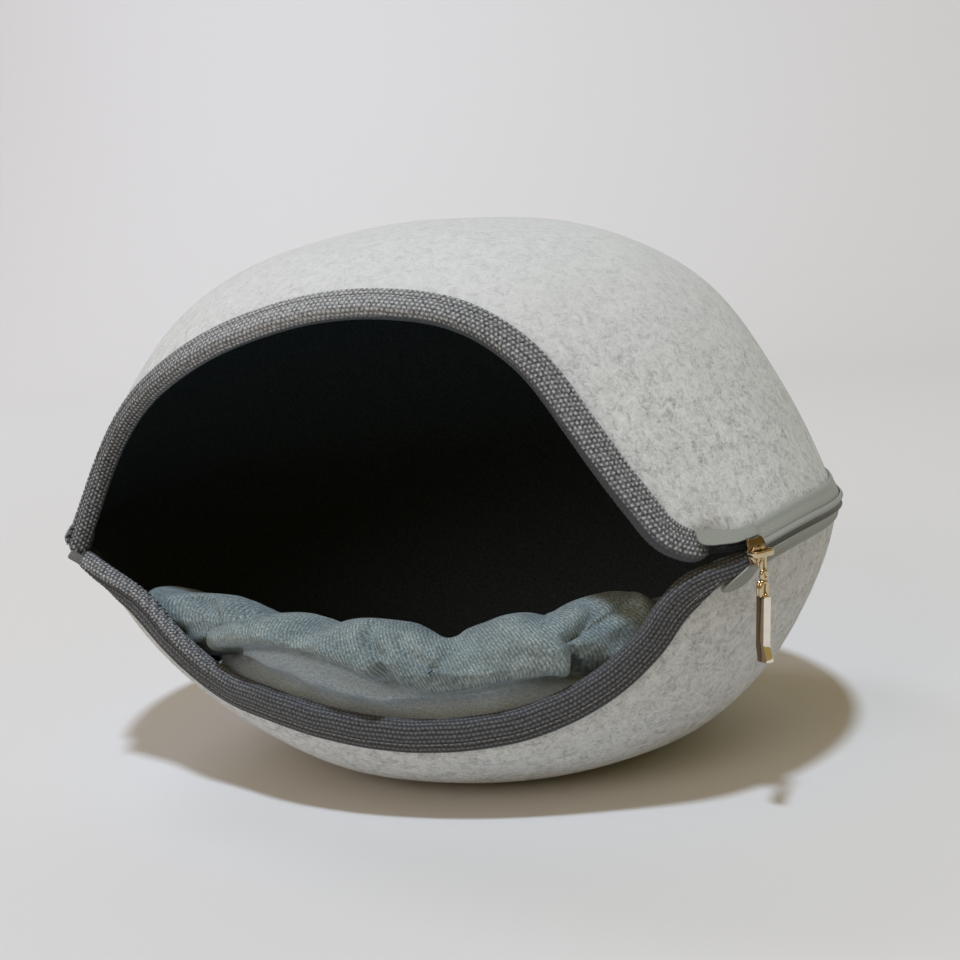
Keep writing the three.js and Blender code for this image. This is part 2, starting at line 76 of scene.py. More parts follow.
@dataclass(frozen=True)
class Form:
    """Sizes that the two halves share."""

    half_width: float = 220.0
    half_depth: float = 182.0
    rim_height: float = 142.0
    rim_x: float = -19.0
    rim_y: float = -8.0
    felt: float = 4.0
    lining: float = 1.5
    gap: float = 0.35
    corner: float = 62.0
    droop: float = 13.0
    droop_at: float = 54.0
    droop_spread: float = 14.0
    shoulder_at: float = -70.0
    shoulder_spread: float = 38.0
    shoulder_bulge: float = 8.0
    sag_at: float = 105.0
    sag_spread: float = 30.0
    sag_fall: float = 6.5
    sag_inset: float = 3.0
    sag_fade: float = 10.0
    roll_reach: float = 30.0
    felt_back: float = 4.0

    @property
    def mean_radius(self) -> float:
        """Mean radius of the oval rim."""
        return (self.half_width + self.half_depth) / 2

    @property
    def oval(self) -> float:
        """How oval the rim is, as a share of its mean radius."""
        return (self.half_width - self.half_depth) / (self.half_width + self.half_depth)

    @property
    def wall(self) -> float:
        """Thickness of felt, gap and lining together."""
        return self.felt + self.gap + self.lining

    @property
    def middle(self) -> Array:
        """The middle of the oval rim."""
        return np.array([self.rim_x, self.rim_y, self.rim_height])


FORM = Form()


@dataclass(frozen=True)
class WallCurve:
    """Handles of a wall's profile, from the rim to the crown or the base."""

    lean: float
    rim_pull: float
    top_pull: float


@dataclass(frozen=True)
class LipRow:
    """A point that the lip of the mouth passes through."""

    azimuth: float
    height: float


def rows_of(kind: type, *values: tuple) -> tuple:
    """Rows of one kind, each made from its own values."""
    return tuple(kind(*row) for row in values)


UPPER_LIP = rows_of(
    LipRow,
    (56, 134.5), (52, 138), (49, 145.5), (46.5, 158.5), (43, 178), (39, 201), (32.5, 231.5), (22, 252),
    (8, 260), (-8, 260.5), (-24, 253), (-40, 236.5), (-53, 213), (-60, 184), (-61.4, 158),
)
LOWER_LIP = rows_of(
    LipRow,
    (56, 124.5), (52.5, 120), (49.5, 110), (46, 94), (39, 75), (28.5, 61), (14, 54), (0, 53.5),
    (-13, 57.5), (-26, 64.5), (-38.5, 71.5), (-46.5, 90), (-53, 109.5), (-58, 121.5),
)


def hump(azimuth: Array, centre: float, spread: float) -> Array:
    """A soft hump of height one round an azimuth.

    Args:
        azimuth: Azimuths in radians.
        centre: Azimuth of the hump in degrees.
        spread: Its spread in degrees.

    Returns:
        The hump's height at each azimuth.
    """
    turn = azimuth - math.radians(centre)
    away = np.arctan2(np.sin(turn), np.cos(turn)) / math.radians(spread)
    return np.exp(-away * away)


def ease(value: Array, low: float, high: float) -> Array:
    """A smooth step from 0 at low to 1 at high."""
    share = np.clip((value - low) / (high - low), 0, 1)
    return share * share * (3 - 2 * share)


def cubic(a: float, b: float, c: float, d: float, t: Array) -> Array:
    """A cubic Bezier through four values."""
    s = 1 - t
    return s**3 * a + 3 * s * s * t * b + 3 * s * t * t * c + t**3 * d


def unit(vectors: Array) -> Array:
    """Vectors at length one."""
    return vectors / np.maximum(np.linalg.norm(vectors, axis=-1, keepdims=True), 1e-12)


def azimuth_of(points: Array) -> Array:
    """Azimuths of points round the upright through the origin, in radians."""
    return np.arctan2(points[:, 0], -points[:, 1])


def in_degrees(azimuth: Array) -> Array:
    """Azimuths in degrees, from -180 to 180."""
    return np.degrees(np.arctan2(np.sin(azimuth), np.cos(azimuth)))


def lengths_along(points: Array) -> Array:
    """The length gone at each point of a line."""
    return np.concatenate([[0], np.cumsum(np.linalg.norm(np.diff(points, axis=0), axis=1))])


def on_line(line: Array, lengths: Array, at: Array) -> Array:
    """Points of a flat line at given lengths along it."""
    return np.stack([np.interp(at, lengths, line[:, k]) for k in (0, 1)], axis=-1)


def boxed(wave: Array, power: float) -> Array:
    """A sine or cosine pressed towards a square wave by a power below one."""
    return np.sign(wave) * np.abs(wave) ** power


def circle(count: int) -> tuple[Array, Array]:
    """Cosines and sines of even steps round a circle."""
    angle = np.linspace(0, 2 * math.pi, count, endpoint=False)
    return np.cos(angle), np.sin(angle)


def turned(x: Array, y: Array, degrees: float) -> list[Array]:
    """Flat points turned about the origin."""
    c, n = math.cos(math.radians(degrees)), math.sin(math.radians(degrees))
    return [x * c - y * n, x * n + y * c]


@dataclass(frozen=True)
class Swell:
    """A soft ridge across a piece: its height, where its crest lies and how far it spreads."""

    high: float
    at: float
    spread: float

    def over(self, value: Array) -> Array:
        """Its height at given values."""
        return self.high * np.exp(-(((value - self.at) / self.spread) ** 2))


@dataclass
class Shell:
    """One moulded half as a surface over a flat chart whose unit circle is the rim."""

    half: Half
    curve: WallCurve
    rise: float
    centre_x: float
    centre_y: float
    roll: float
    pole_back: float
    lip_rows: tuple[LipRow, ...]
    base_radius: float = 0.0
    flat_from: float = 1.0
    left_fade: float = 5.0
    right_fade: float = 5.0
    tuck: Swell = Swell(0.0, 0.038, 0.022)
    tuck_reach: float = 16.0
    lip: Array = field(init=False)
    lip_length: Array = field(init=False)
    lip_line: Array = field(init=False)

    def __post_init__(self) -> None:
        """Lays the lip through its rows."""
        self.lip_line = np.zeros((0, 3))
        turns = np.radians([row.azimuth for row in self.lip_rows])
        heights = np.array([row.height for row in self.lip_rows])
        middle = self.chart(turns, self.depth_at(turns, heights))
        corner = np.radians([FORM.corner, -FORM.corner])
        ends = self.chart(corner, np.full(2, FORM.felt_back / self.rim_speed))
        self.lip = smooth_line(np.vstack([ends[:1], middle, ends[1:]]), 40)
        self.lip_length = lengths_along(self.lip)
        self.lip_line = self.moulded(*self.polar(self.lip_at(np.linspace(0, 1, 161))))

    @property
    def sign(self) -> int:
        """1 for the dome and -1 for the bowl."""
        return self.half.value

    @property
    def rim_speed(self) -> float:
        """Millimetres of wall per unit of depth at the rim."""
        return 3 * self.curve.rim_pull / self.flat_from

    @property
    def pole(self) -> Array:
        """The chart point that the rows of the grid close in on."""
        return np.array([0.0, self.pole_back])

    def chart(self, azimuth: Array, depth: Array) -> Array:
        """Chart points of azimuths and depths."""
        reach = 1 - depth
        return np.stack([np.sin(azimuth) * reach, -np.cos(azimuth) * reach], axis=-1)

    def polar(self, chart: Array) -> tuple[Array, Array]:
        """Azimuths and depths of chart points."""
        return azimuth_of(chart), 1 - np.linalg.norm(chart, axis=1)

    def profile(self, depth: Array) -> tuple[Array, Array]:
        """Radius and rise of the wall.

        Args:
            depth: From 0 at the rim to 1 in the middle.

        Returns:
            The radius and the rise above the rim at each depth.
        """
        mean, lean = FORM.mean_radius, math.radians(self.curve.lean)
        pull, flat = self.curve.rim_pull, self.base_radius
        t = np.clip(depth / self.flat_from, 0, 1)
        radius = cubic(mean, mean - pull * math.sin(lean), flat + self.curve.top_pull, flat, t)
        rise = cubic(0, pull * math.cos(lean), self.rise, self.rise, t) * self.sign
        inner = depth > self.flat_from
        if inner.any():
            radius = np.where(inner, flat * (1 - depth) / (1 - self.flat_from), radius)
        return radius, rise

    def moulded(self, azimuth: Array, depth: Array) -> Array:
        """The felt's outer surface before its lip is rolled, in millimetres."""
        radius, rise = self.profile(depth)
        share = np.abs(rise) / self.rise
        mean = FORM.mean_radius
        climb = 1 + share if self.half is Half.DOME else (1 - share) ** 5
        near = hump(azimuth, FORM.shoulder_at, FORM.shoulder_spread)
        bulge = FORM.shoulder_bulge * near * climb * radius / mean
        sag = hump(azimuth, FORM.sag_at, FORM.sag_spread) * (1 - share) ** FORM.sag_fade
        oval = 1 - FORM.oval * np.cos(2 * azimuth) * (radius / mean) ** 3
        reach = radius * oval + bulge - FORM.sag_inset * sag
        droop = FORM.droop * sum(
            hump(azimuth, side * FORM.droop_at, FORM.droop_spread) for side in (1, -1)
        )
        return np.stack(
            [
                FORM.rim_x + reach * np.sin(azimuth) + (self.centre_x - FORM.rim_x) * share,
                FORM.rim_y - reach * np.cos(azimuth) + (self.centre_y - FORM.rim_y) * share,
                FORM.rim_height + rise - droop * (1 - share) ** 2 - FORM.sag_fall * sag,
            ],
            axis=-1,
        )

    def depth_at(self, azimuth: Array, height: Array) -> Array:
        """Depths at which the wall reaches given heights."""
        low, high = np.zeros_like(azimuth), np.full_like(azimuth, self.flat_from)
        for _ in range(40):
            middle = (low + high) / 2
            above = self.moulded(azimuth, middle)[:, 2] > height
            past = above == (self.sign > 0)
            high = np.where(past, middle, high)
            low = np.where(past, low, middle)
        return (low + high) / 2

    def lip_at(self, share: Array) -> Array:
        """Chart points along the lip, from the slider's corner to the other."""
        return on_line(self.lip, self.lip_length, np.asarray(share) * self.lip_length[-1])

    def point(self, chart: Array) -> Array:
        """The felt's outer surface with its rolled lip, in millimetres."""
        azimuth, depth = self.polar(chart)
        points = self.moulded(azimuth, depth)
        roll = np.zeros(len(points))
        last = len(self.lip_line) - 1
        for start in range(0, len(points), BATCH):
            part = slice(start, start + BATCH)
            apart = np.linalg.norm(points[part, None] - self.lip_line[None], axis=2)
            nearest = np.clip(apart.argmin(axis=1), 1, last - 1)
            each = np.arange(len(nearest))
            before, here, after = (apart[each, nearest + step] ** 2 for step in (-1, 0, 1))
            slip = np.clip(0.5 * (before - after) / (before - 2 * here + after), -1, 1)
            share = np.clip((nearest + slip) / last, 0, 1)
            near = apart.min(axis=1)
            steep = np.where(share > 0.5, self.left_fade, self.right_fade)
            fade = np.minimum(1, steep * share * (1 - share))
            gone = np.clip(1 - near / FORM.roll_reach, 0, 1)
            tucked = self.tuck.over(share) * np.clip(1 - near / self.tuck_reach, 0, 1)
            roll[part] = self.roll * fade * gone**2 - tucked
        points[:, 0] += roll * np.sin(azimuth)
        points[:, 1] -= roll * np.cos(azimuth)
        return points

    def normal(self, chart: Array) -> Array:
        """Outward normals, taken a little way in from the lip."""
        base = chart + (self.pole - chart) * 0.02
        step = 0.004
        across = self.point(base + [step, 0]) - self.point(base - [step, 0])
        along = self.point(base + [0, step]) - self.point(base - [0, step])
        return unit(np.cross(across, along)) * self.sign

    def settle(self, points: Array) -> Array:
        """Chart points of the wall at the azimuth and height of given points."""
        share = np.abs(points[:, 2] - FORM.rim_height) / self.rise
        x = points[:, 0] - FORM.rim_x - (self.centre_x - FORM.rim_x) * share
        y = points[:, 1] - FORM.rim_y - (self.centre_y - FORM.rim_y) * share
        azimuth = np.arctan2(x, -y)
        return self.chart(azimuth, self.depth_at(azimuth, points[:, 2]))

    def edge(self, around: Array, lip_part: float, rim_back: float) -> Array:
        """The half's edge, lip first and then the rim round the back.

        Args:
            around: Shares of the way round, from 0 to 1.
            lip_part: Share of the way that the lip takes.
            rim_back: How far the edge lies from the rim's line.

        Returns:
            Chart points on the edge.
        """
        lip = self.lip_at(np.clip(around / lip_part, 0, 1))
        back = np.clip((around - lip_part) / (1 - lip_part), 0, 1)
        turn = np.radians(-FORM.corner - (360 - 2 * FORM.corner) * back)
        rim_depth = np.full_like(around, rim_back / self.rim_speed)
        blend = np.minimum(1, np.minimum(back, 1 - back) * 60)[:, None]
        felt_depth = np.full_like(around, FORM.felt_back / self.rim_speed)
        rim = self.chart(turn, felt_depth) * (1 - blend) + self.chart(turn, rim_depth) * blend
        return np.where((around <= lip_part)[:, None], lip, rim)


def smooth_line(points: Array, steps: int) -> Array:
    """A Catmull-Rom line through points.

    Args:
        points: The points, a row each.
        steps: How many steps to take between two points.

    Returns:
        The line's points.
    """
    padded = np.vstack([points[:1], points, points[-1:]])
    t = np.linspace(0, 1, steps, endpoint=False)[:, None]
    runs = []
    for i in range(len(points) - 1):
        p0, p1, p2, p3 = padded[i : i + 4]
        v0, v1 = (p2 - p0) / 2, (p3 - p1) / 2
        a, b = 2 * p1 - 2 * p2 + v0 + v1, -3 * p1 + 3 * p2 - 2 * v0 - v1
        runs.append(a * t**3 + b * t**2 + v0 * t + p1)
    return np.vstack([*runs, points[-1:]])


DOME = Shell(
    half=Half.DOME,
    curve=WallCurve(lean=23, rim_pull=90, top_pull=157),
    rise=161,
    centre_x=-15,
    centre_y=6,
    roll=2,
    pole_back=0.12,
    lip_rows=UPPER_LIP,
    tuck=Swell(8.0, 0.038, 0.022),
)
BOWL = Shell(
    half=Half.BOWL,
    curve=WallCurve(lean=13.5, rim_pull=102, top_pull=55),
    rise=142,
    centre_x=0,
    centre_y=0,
    roll=-8,
    pole_back=0.0,
    lip_rows=LOWER_LIP,
    base_radius=70,
    flat_from=0.8,
    left_fade=13,
    tuck=Swell(7.0, 0.92, 0.07),
    tuck_reach=34,
)


class Bench:
    """The modelling moves that the pieces share."""

    @staticmethod
    def clear() -> None:
        """Deselects everything."""
        bpy.ops.object.select_all(action="DESELECT")

    @staticmethod
    def pick(piece: Piece) -> None:
        """Makes one piece the only selected and the active one."""
        Bench.clear()
        piece.select_set(True)
        bpy.context.view_layer.objects.active = piece

    @staticmethod
    def grid(name: str, columns: int, rows: int, place: Place) -> Piece:
        """Adds a grid and lays each of its points where the surface has it.

        Args:
            name: The piece's name.
            columns: Faces along the first way.
            rows: Faces along the second way.
            place: Gives points in millimetres for shares along both ways.

        Returns:
            The new piece.
        """
        Bench.clear()
        bpy.ops.mesh.primitive_grid_add(x_subdivisions=columns, y_subdivisions=rows, size=2)
        piece = bpy.context.object
        piece.name = name
        piece.data.name = name
        flat = Bench.points(piece)
        laid = place((flat[:, 0] + 1) / 2, (flat[:, 1] + 1) / 2)
        Bench.put(piece, laid * MM)
        return piece

    @staticmethod
    def read(rows: bpy.types.bpy_prop_collection, key: str) -> Array:
        """A vector from each point or face of a mesh."""
        flat = np.zeros(len(rows) * 3, np.float32)
        rows.foreach_get(key, flat)
        return flat.reshape(-1, 3).astype(float)

    @staticmethod
    def points(piece: Piece) -> Array:
        """The piece's points in metres."""
        return Bench.read(piece.data.vertices, "co")

    @staticmethod
    def normals(piece: Piece) -> Array:
        """The piece's point normals."""
        return Bench.read(piece.data.vertices, "normal")

    @staticmethod
    def put(piece: Piece, points: Array) -> None:
        """Moves the piece's points."""
        piece.data.vertices.foreach_set("co", np.asarray(points, np.float32).ravel())
        piece.data.update()

    @staticmethod
    def lay_uv(piece: Piece, along: Array, across: Array) -> None:
        """Writes lengths along and across the piece, in metres, to its UV map."""
        mesh = piece.data
        corners = np.zeros(len(mesh.loops), np.int32)
        mesh.loops.foreach_get("vertex_index", corners)
        layer = mesh.uv_layers.active or mesh.uv_layers.new(name="UVMap")
        values = np.stack([along[corners], across[corners]], axis=1)
        layer.data.foreach_set("uv", values.astype(np.float32).ravel())

    @staticmethod
    def edit(piece: Piece, move: Callable[..., object], **options: object) -> None:
        """Makes one mesh move on the whole of a piece."""
        Bench.pick(piece)
        bpy.ops.object.mode_set(mode="EDIT")
        bpy.ops.mesh.select_all(action="SELECT")
        move(**options)
        bpy.ops.object.mode_set(mode="OBJECT")

    @staticmethod
    def merge(piece: Piece, distance: float = 1e-5) -> None:
        """Merges points that lie on each other."""
        Bench.edit(piece, bpy.ops.mesh.remove_doubles, threshold=distance)

    @staticmethod
    def face_out(piece: Piece, outward: Callable[[Array], Array]) -> None:
        """Turns the faces round where they point against the outward way.

        Args:
            piece: The piece.
            outward: Gives the outward way at face centres in metres.
        """
        faces = piece.data.polygons
        wanted = outward(Bench.read(faces, "center"))
        if (Bench.read(faces, "normal") * wanted).sum() < 0:
            Bench.edit(piece, bpy.ops.mesh.flip_normals)

    @staticmethod
    def outside(piece: Piece) -> None:
        """Recalculates the normals of a closed piece to point out."""
        Bench.edit(piece, bpy.ops.mesh.normals_make_consistent, inside=False)

    @staticmethod
    def apply(piece: Piece, kind: str, **settings: object) -> None:
        """Adds a modifier, sets it and applies it."""
        Bench.pick(piece)
        modifier = piece.modifiers.new(kind.lower(), kind)
        for key, value in settings.items():
            setattr(modifier, key, value)
        bpy.ops.object.modifier_apply(modifier=modifier.name)

    @staticmethod
    def smooth(piece: Piece, angle: float = 40.0) -> None:
        """Shades the piece smooth, with sharp edges past an angle."""
        Bench.pick(piece)
        bpy.ops.object.shade_smooth_by_angle(angle=math.radians(angle))

    @staticmethod
    def tube(piece: Piece, distance: float) -> None:
        """Closes a rolled grid along its seam and at its ends."""
        Bench.merge(piece, distance)
        Bench.edit(piece, bpy.ops.mesh.fill_holes, sides=0)
        Bench.outside(piece)

    @staticmethod
    def thicken(piece: Piece, thick: float, angle: float) -> Piece:
        """Gives a sheet its thickness, inwards, and shades it smooth up to an angle."""
        Bench.apply(piece, "SOLIDIFY", thickness=thick * MM, offset=-1.0, use_even_offset=False)
        Bench.smooth(piece, angle)
        return piece

    @staticmethod
    def join(name: str, parts: list[Piece]) -> Piece:
        """Joins parts into one piece.

        Args:
            name: The joined piece's name.
            parts: The parts, of which the first one is kept.

        Returns:
            The joined piece.
        """
        Bench.pick(parts[0])
        for part in parts:
            part.select_set(True)
        bpy.ops.object.join()
        piece = bpy.context.object
        piece.name = name
        piece.data.name = name
        return piece

    @staticmethod
    def sweep(name: str, path: Array, side: Triple, wide: Array, thick: Array, corner: float) -> Piece:
        """Sweeps a bar with rounded corners along a path.

        Args:
            name: The piece's name.
            path: Points of the path, in millimetres.
            side: The way that the bar's width lies.
            wide: Half of its width at each point.
            thick: Half of its thickness at each point.
            corner: 1 for an oval bar, towards 0 for a square one.

        Returns:
            The closed bar, in its own millimetres.
        """
        ways = unit(np.gradient(path, axis=0))
        sides = unit(np.array(side) - ways * (ways @ np.array(side))[:, None])
        backs = np.cross(ways, sides)

        def place(along: Array, round_it: Array) -> Array:
            """Lays the bar's skin round the path."""
            k = np.rint(along * (len(path) - 1)).astype(int)
            angle = round_it * 2 * math.pi
            c, n = np.cos(angle), np.sin(angle)
            a, b = boxed(c, corner) * wide[k], boxed(n, corner) * thick[k]
            return path[k] + sides[k] * a[:, None] + backs[k] * b[:, None]

        piece = Bench.grid(name, len(path) - 1, 24, place)
        Bench.put(piece, Bench.points(piece) / MM)
        Bench.tube(piece, 1e-3)
        return piece

    @staticmethod
    def plate(name: str, outline: Array, thick: float, bevel: float) -> Piece:
        """Cuts a plate with rounded edges.

        Args:
            name: The piece's name.
            outline: Its outline in the plane, in millimetres.
            thick: Its thickness.
            bevel: Width of the rounded edge.

        Returns:
            The closed plate, in its own millimetres.
        """
        Bench.clear()
        bpy.ops.mesh.primitive_circle_add(vertices=len(outline), fill_type="NGON")
        piece = bpy.context.object
        piece.name = name
        Bench.put(piece, np.column_stack([outline, np.zeros(len(outline))]))
        rise = {"value": (0, 0, thick)}
        Bench.edit(piece, bpy.ops.mesh.extrude_region_move, TRANSFORM_OT_translate=rise)
        Bench.outside(piece)
        Bench.apply(piece, "BEVEL", width=bevel, segments=3, limit_method="ANGLE", angle_limit=0.8)
        return piece

    @staticmethod
    def carry(piece: Piece, frame: Array) -> None:
        """Moves a piece modelled in millimetres at the origin to its own frame.

        Args:
            piece: The piece.
            frame: Rows of the frame's place and its three ways, in millimetres.
        """
        local = Bench.points(piece)
        Bench.put(piece, (frame[0] + local @ frame[1:]) * MM)

    @staticmethod
    def repeat(name: str, seed: Piece, places: Array, ways: Array) -> Piece:
        """Copies a small shape to many places, in one piece.

        Args:
            name: The new piece's name.
            seed: The shape at the origin, in millimetres; it is taken away.
            places: A place for each copy, in millimetres.
            ways: Three ways for each copy.

        Returns:
            The new piece.
        """
        local = Bench.points(seed)
        faces = [tuple(face.vertices) for face in seed.data.polygons]
        points = places[:, None, :] + np.einsum("vk,nkc->nvc", local, ways)
        count = len(local)
        copies = [tuple(v + n * count for v in face) for n in range(len(places)) for face in faces]
        mesh = bpy.data.meshes.new(name)
        mesh.from_pydata((points.reshape(-1, 3) * MM).tolist(), [], copies)
        piece = bpy.data.objects.new(name, mesh)
        bpy.context.scene.collection.objects.link(piece)
        bpy.data.objects.remove(seed)
        return piece

    @staticmethod
    def settle_in(piece: Piece, slot: str, material: Material, node: str) -> None:
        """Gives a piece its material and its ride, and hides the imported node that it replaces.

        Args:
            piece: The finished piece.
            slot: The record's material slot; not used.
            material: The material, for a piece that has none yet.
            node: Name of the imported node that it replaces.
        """
        if not piece.data.materials:
            piece.data.materials.append(material)
        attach(piece, "root")
        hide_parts(node)
        LOG.info("%s: %d faces", piece.name, len(piece.data.polygons))


class Dye:
    """A material under construction: its node tree and short ways to add to it."""

    def __init__(self, name: str) -> None:
        """Starts a material with its shader and its object coordinates."""
        self.material = bpy.data.materials.new(name)
        self.material.use_nodes = True
        self.tree = self.material.node_tree
        self.shader = self.tree.nodes["Principled BSDF"]
        self.coords = self.tree.nodes.new("ShaderNodeTexCoord")
        self.place = self.coords.outputs["Object"]

    def give(self, socket: Socket, value: object) -> None:
        """Links a socket to another one, or sets it to a plain value."""
        if isinstance(value, bpy.types.NodeSocket):
            self.tree.links.new(value, socket)
        else:
            socket.default_value = value

    def node(self, kind: str, **inputs: object) -> bpy.types.Node:
        """Adds a node and feeds its inputs; an underscore in a name stands for a space."""
        node = self.tree.nodes.new(f"ShaderNode{kind}")
        for key, value in inputs.items():
            self.give(node.inputs[key.replace("_", " ")], value)
        return node

    def set(self, **values: object) -> None:
        """Feeds the shader's inputs in the same way."""
        for key, value in values.items():
            self.give(self.shader.inputs[key.replace("_", " ")], value)

    def scaled(self, source: Socket, scale: Triple, turn: Triple = (0, 0, 0)) -> Socket:
        """Coordinates turned, in degrees, and scaled."""
        angles = [math.radians(a) for a in turn]
        return self.node("Mapping", Vector=source, Scale=scale, Rotation=angles).outputs["Vector"]

    def along_piece(self) -> Socket:
        """Millimetres along and across a strip."""
        return self.scaled(self.coords.outputs["UV"], (1000, 1000, 1000))

    def round_cushion(self, slant: float = 0.0) -> Socket:
        """Millimetres round and up the cushion, turned by a slant."""
        lay = self.node("Attribute")
        lay.attribute_name = "cloth_lay"
        return self.scaled(lay.outputs["Vector"], (1000, 1000, 1000), (0, 0, slant))

    def noise(self, vector: Socket, scale: float, detail: float, rough: float, twist: float = 0.0) -> Socket:
        """A noise field."""
        shape = {"Scale": scale, "Detail": detail, "Roughness": rough, "Distortion": twist}
        return self.node("TexNoise", Vector=vector, **shape).outputs["Fac"]

    def wave(
        self, vector: Socket, way: str, scale: float, twist: float, detail: float, fine: float
    ) -> Socket:
        """Ribs across the X or Y way, with uneven edges."""
        shape = {"Scale": scale, "Distortion": twist, "Detail": detail, "Detail Scale": fine}
        node = self.node("TexWave", Vector=vector, **shape)
        node.bands_direction = way
        return node.outputs["Fac"]

    def math(
        self, operation: str, first: Socket | float, second: Socket | float = 0.0, clamp: bool = False
    ) -> Socket:
        """A Math node of one or two values."""
        node = self.node("Math")
        node.operation = operation
        node.use_clamp = clamp
        self.give(node.inputs[0], first)
        self.give(node.inputs[1], second)
        return node.outputs["Value"]

    def times(self, first: Socket, second: Socket | float) -> Socket:
        """One value times another."""
        return self.math("MULTIPLY", first, second)

    def plus(self, first: Socket, second: Socket | float) -> Socket:
        """One value plus another."""
        return self.math("ADD", first, second)

    def slope(self, value: Socket, start: float, rate: float) -> Socket:
        """A slope that leaves 0 at the start and ends at 1."""
        return self.math("MULTIPLY", self.math("SUBTRACT", value, start), rate, clamp=True)

    def blend(self, first: Socket, second: Socket, share: float) -> Socket:
        """Two values mixed, with the second one's share."""
        return self.plus(self.times(first, 1 - share), self.times(second, share))

    def parts(self, vector: Socket) -> list[Socket]:
        """The three parts of a vector."""
        node = self.node("SeparateXYZ", Vector=vector)
        return [node.outputs[axis] for axis in "XYZ"]

    def ramp(self, value: Socket, *stops: tuple[float, Triple]) -> Socket:
        """A colour ramp through stops."""
        node = self.node("ValToRGB", Fac=value)
        while len(node.color_ramp.elements) < len(stops):
            node.color_ramp.elements.new(0.5)
        for element, (place, colour) in zip(node.color_ramp.elements, stops):
            element.position = place
            element.color = (*colour, 1)
        return node.outputs["Color"]

    def mix(self, kind: str, share: Socket | float, first: Socket, second: Socket | Triple) -> Socket:
        """A colour mix."""
        node = self.node("Mix")
        node.data_type = "RGBA"
        node.blend_type = kind
        self.give(node.inputs["Factor"], share)
        self.give(node.inputs[6], first)
        self.give(node.inputs[7], (*second, 1) if isinstance(second, tuple) else second)
        return node.outputs[2]

    def bump(self, height: Socket, strength: float, distance: float) -> None:
        """Raises the surface by a height field."""
        node = self.node("Bump", Height=height, Strength=strength, Distance=distance)
        self.set(Normal=node.outputs["Normal"])


@dataclass(frozen=True)
class FeltFinish:
    """Mottled light grey wool felt with darker fibres, with painted light that makes it paler and more even
    in tone towards the top of the dome.
    """

    dark: Triple = (0.265, 0.275, 0.276)
    mid: Triple = (0.57, 0.59, 0.595)
    pale: Triple = (0.72, 0.74, 0.745)
    # even is the paler tone painted on as light over the top of the dome
    even: Triple = (0.64, 0.665, 0.675)
    lit_top_from: float = 0.2
    lit_top_to: float = 0.27
    lit_top_share: float = 0.55

    def material(self) -> Material:
        """Builds the felt."""
        dye = Dye("grey_felt")
        clouds = dye.noise(dye.place, 175, 6, 0.72, 0.9)
        specks = dye.noise(dye.place, 640, 5, 0.74, 1.2)
        hanging = dye.noise(dye.scaled(dye.place, (760, 760, 380), (16, 0, 0)), 1, 4, 0.7, 0.8)
        lying = dye.noise(dye.scaled(dye.place, (420, 740, 740), (0, 30, 26)), 1, 4, 0.7, 0.8)
        fleece = dye.blend(specks, dye.blend(hanging, lying, 0.5), 0.5)
        mottle = dye.blend(clouds, fleece, 0.6)
        tone = dye.ramp(mottle, (0.39, self.dark), (0.49, self.mid), (0.58, self.pale))
        # Painted light: towards the top of the dome the tone turns to the paler, even one, where the top
        # light falls.
        above = dye.slope(dye.parts(dye.place)[2], self.lit_top_from, 1 / (self.lit_top_to - self.lit_top_from))
        dye.set(Base_Color=dye.mix("MIX", dye.times(above, self.lit_top_share), tone, self.even))
        dye.bump(fleece, 0.5, 0.0014)
        dye.set(Roughness=0.95, Sheen_Weight=0.12, Specular_IOR_Level=0.15)
        return dye.material


@dataclass(frozen=True)
class GrainFinish:
    """A plain finish whose tone wavers between two with a fine grain."""

    name: str
    dark: Triple
    light: Triple
    stops: tuple[float, float]
    grain: float
    detail: float
    waver: float = 0.6
    raised: tuple[float, ...] = ()
    rough: float = 0.1
    specular: float = 0.5
    metallic: float = 0.0

    def material(self) -> Material:
        """Builds the finish."""
        dye = Dye(self.name)
        grain = dye.noise(dye.place, self.grain, self.detail, self.waver)
        dye.set(Base_Color=dye.ramp(grain, *zip(self.stops, (self.dark, self.light))))
        if self.raised:
            dye.bump(grain, *self.raised)
        dye.set(Metallic=self.metallic, Roughness=self.rough, Specular_IOR_Level=self.specular)
        return dye.material


LINING = GrainFinish(
    "dark_lining",
    (0.0258, 0.0336, 0.036),
    (0.05805, 0.0756, 0.081),
    (0.35, 0.65),
    grain=900,
    detail=3,
    raised=(0.25, 0.0006),
    rough=0.95,
    specular=0.1,
)
THREAD = GrainFinish(
    "grey_thread",
    (0.15, 0.152, 0.155),
    (0.26, 0.263, 0.267),
    (0.35, 0.65),
    grain=1500,
    detail=2,
    rough=0.7,
    specular=0.3,
)
STOP = GrainFinish(
    "stop_plastic",
    (0.12, 0.125, 0.125),
    (0.192, 0.2, 0.2),
    (0.3, 0.7),
    grain=1400,
    detail=2,
    waver=0.5,
    raised=(0.2, 0.0003),
    rough=0.55,
)


def plated(name: str, tone: Triple, rough: float) -> Material:
    """Builds a polished plate with faint wear."""
    worn = tuple(0.94 * c for c in tone)
    return GrainFinish(name, worn, tone, (0.35, 0.6), 260, 3, rough=rough, metallic=1.0).material()


@dataclass(frozen=True)
class Weave:
    """Rows of beads in the webbing, laid like bricks and swinging a little across it."""

    pitch: float = 2.6
    row: float = 2.2
    brick: float = 1.65
    swing: float = 0.2
    swing_rate: float = 0.21
    calm_rate: float = 0.012


WEAVE = Weave()


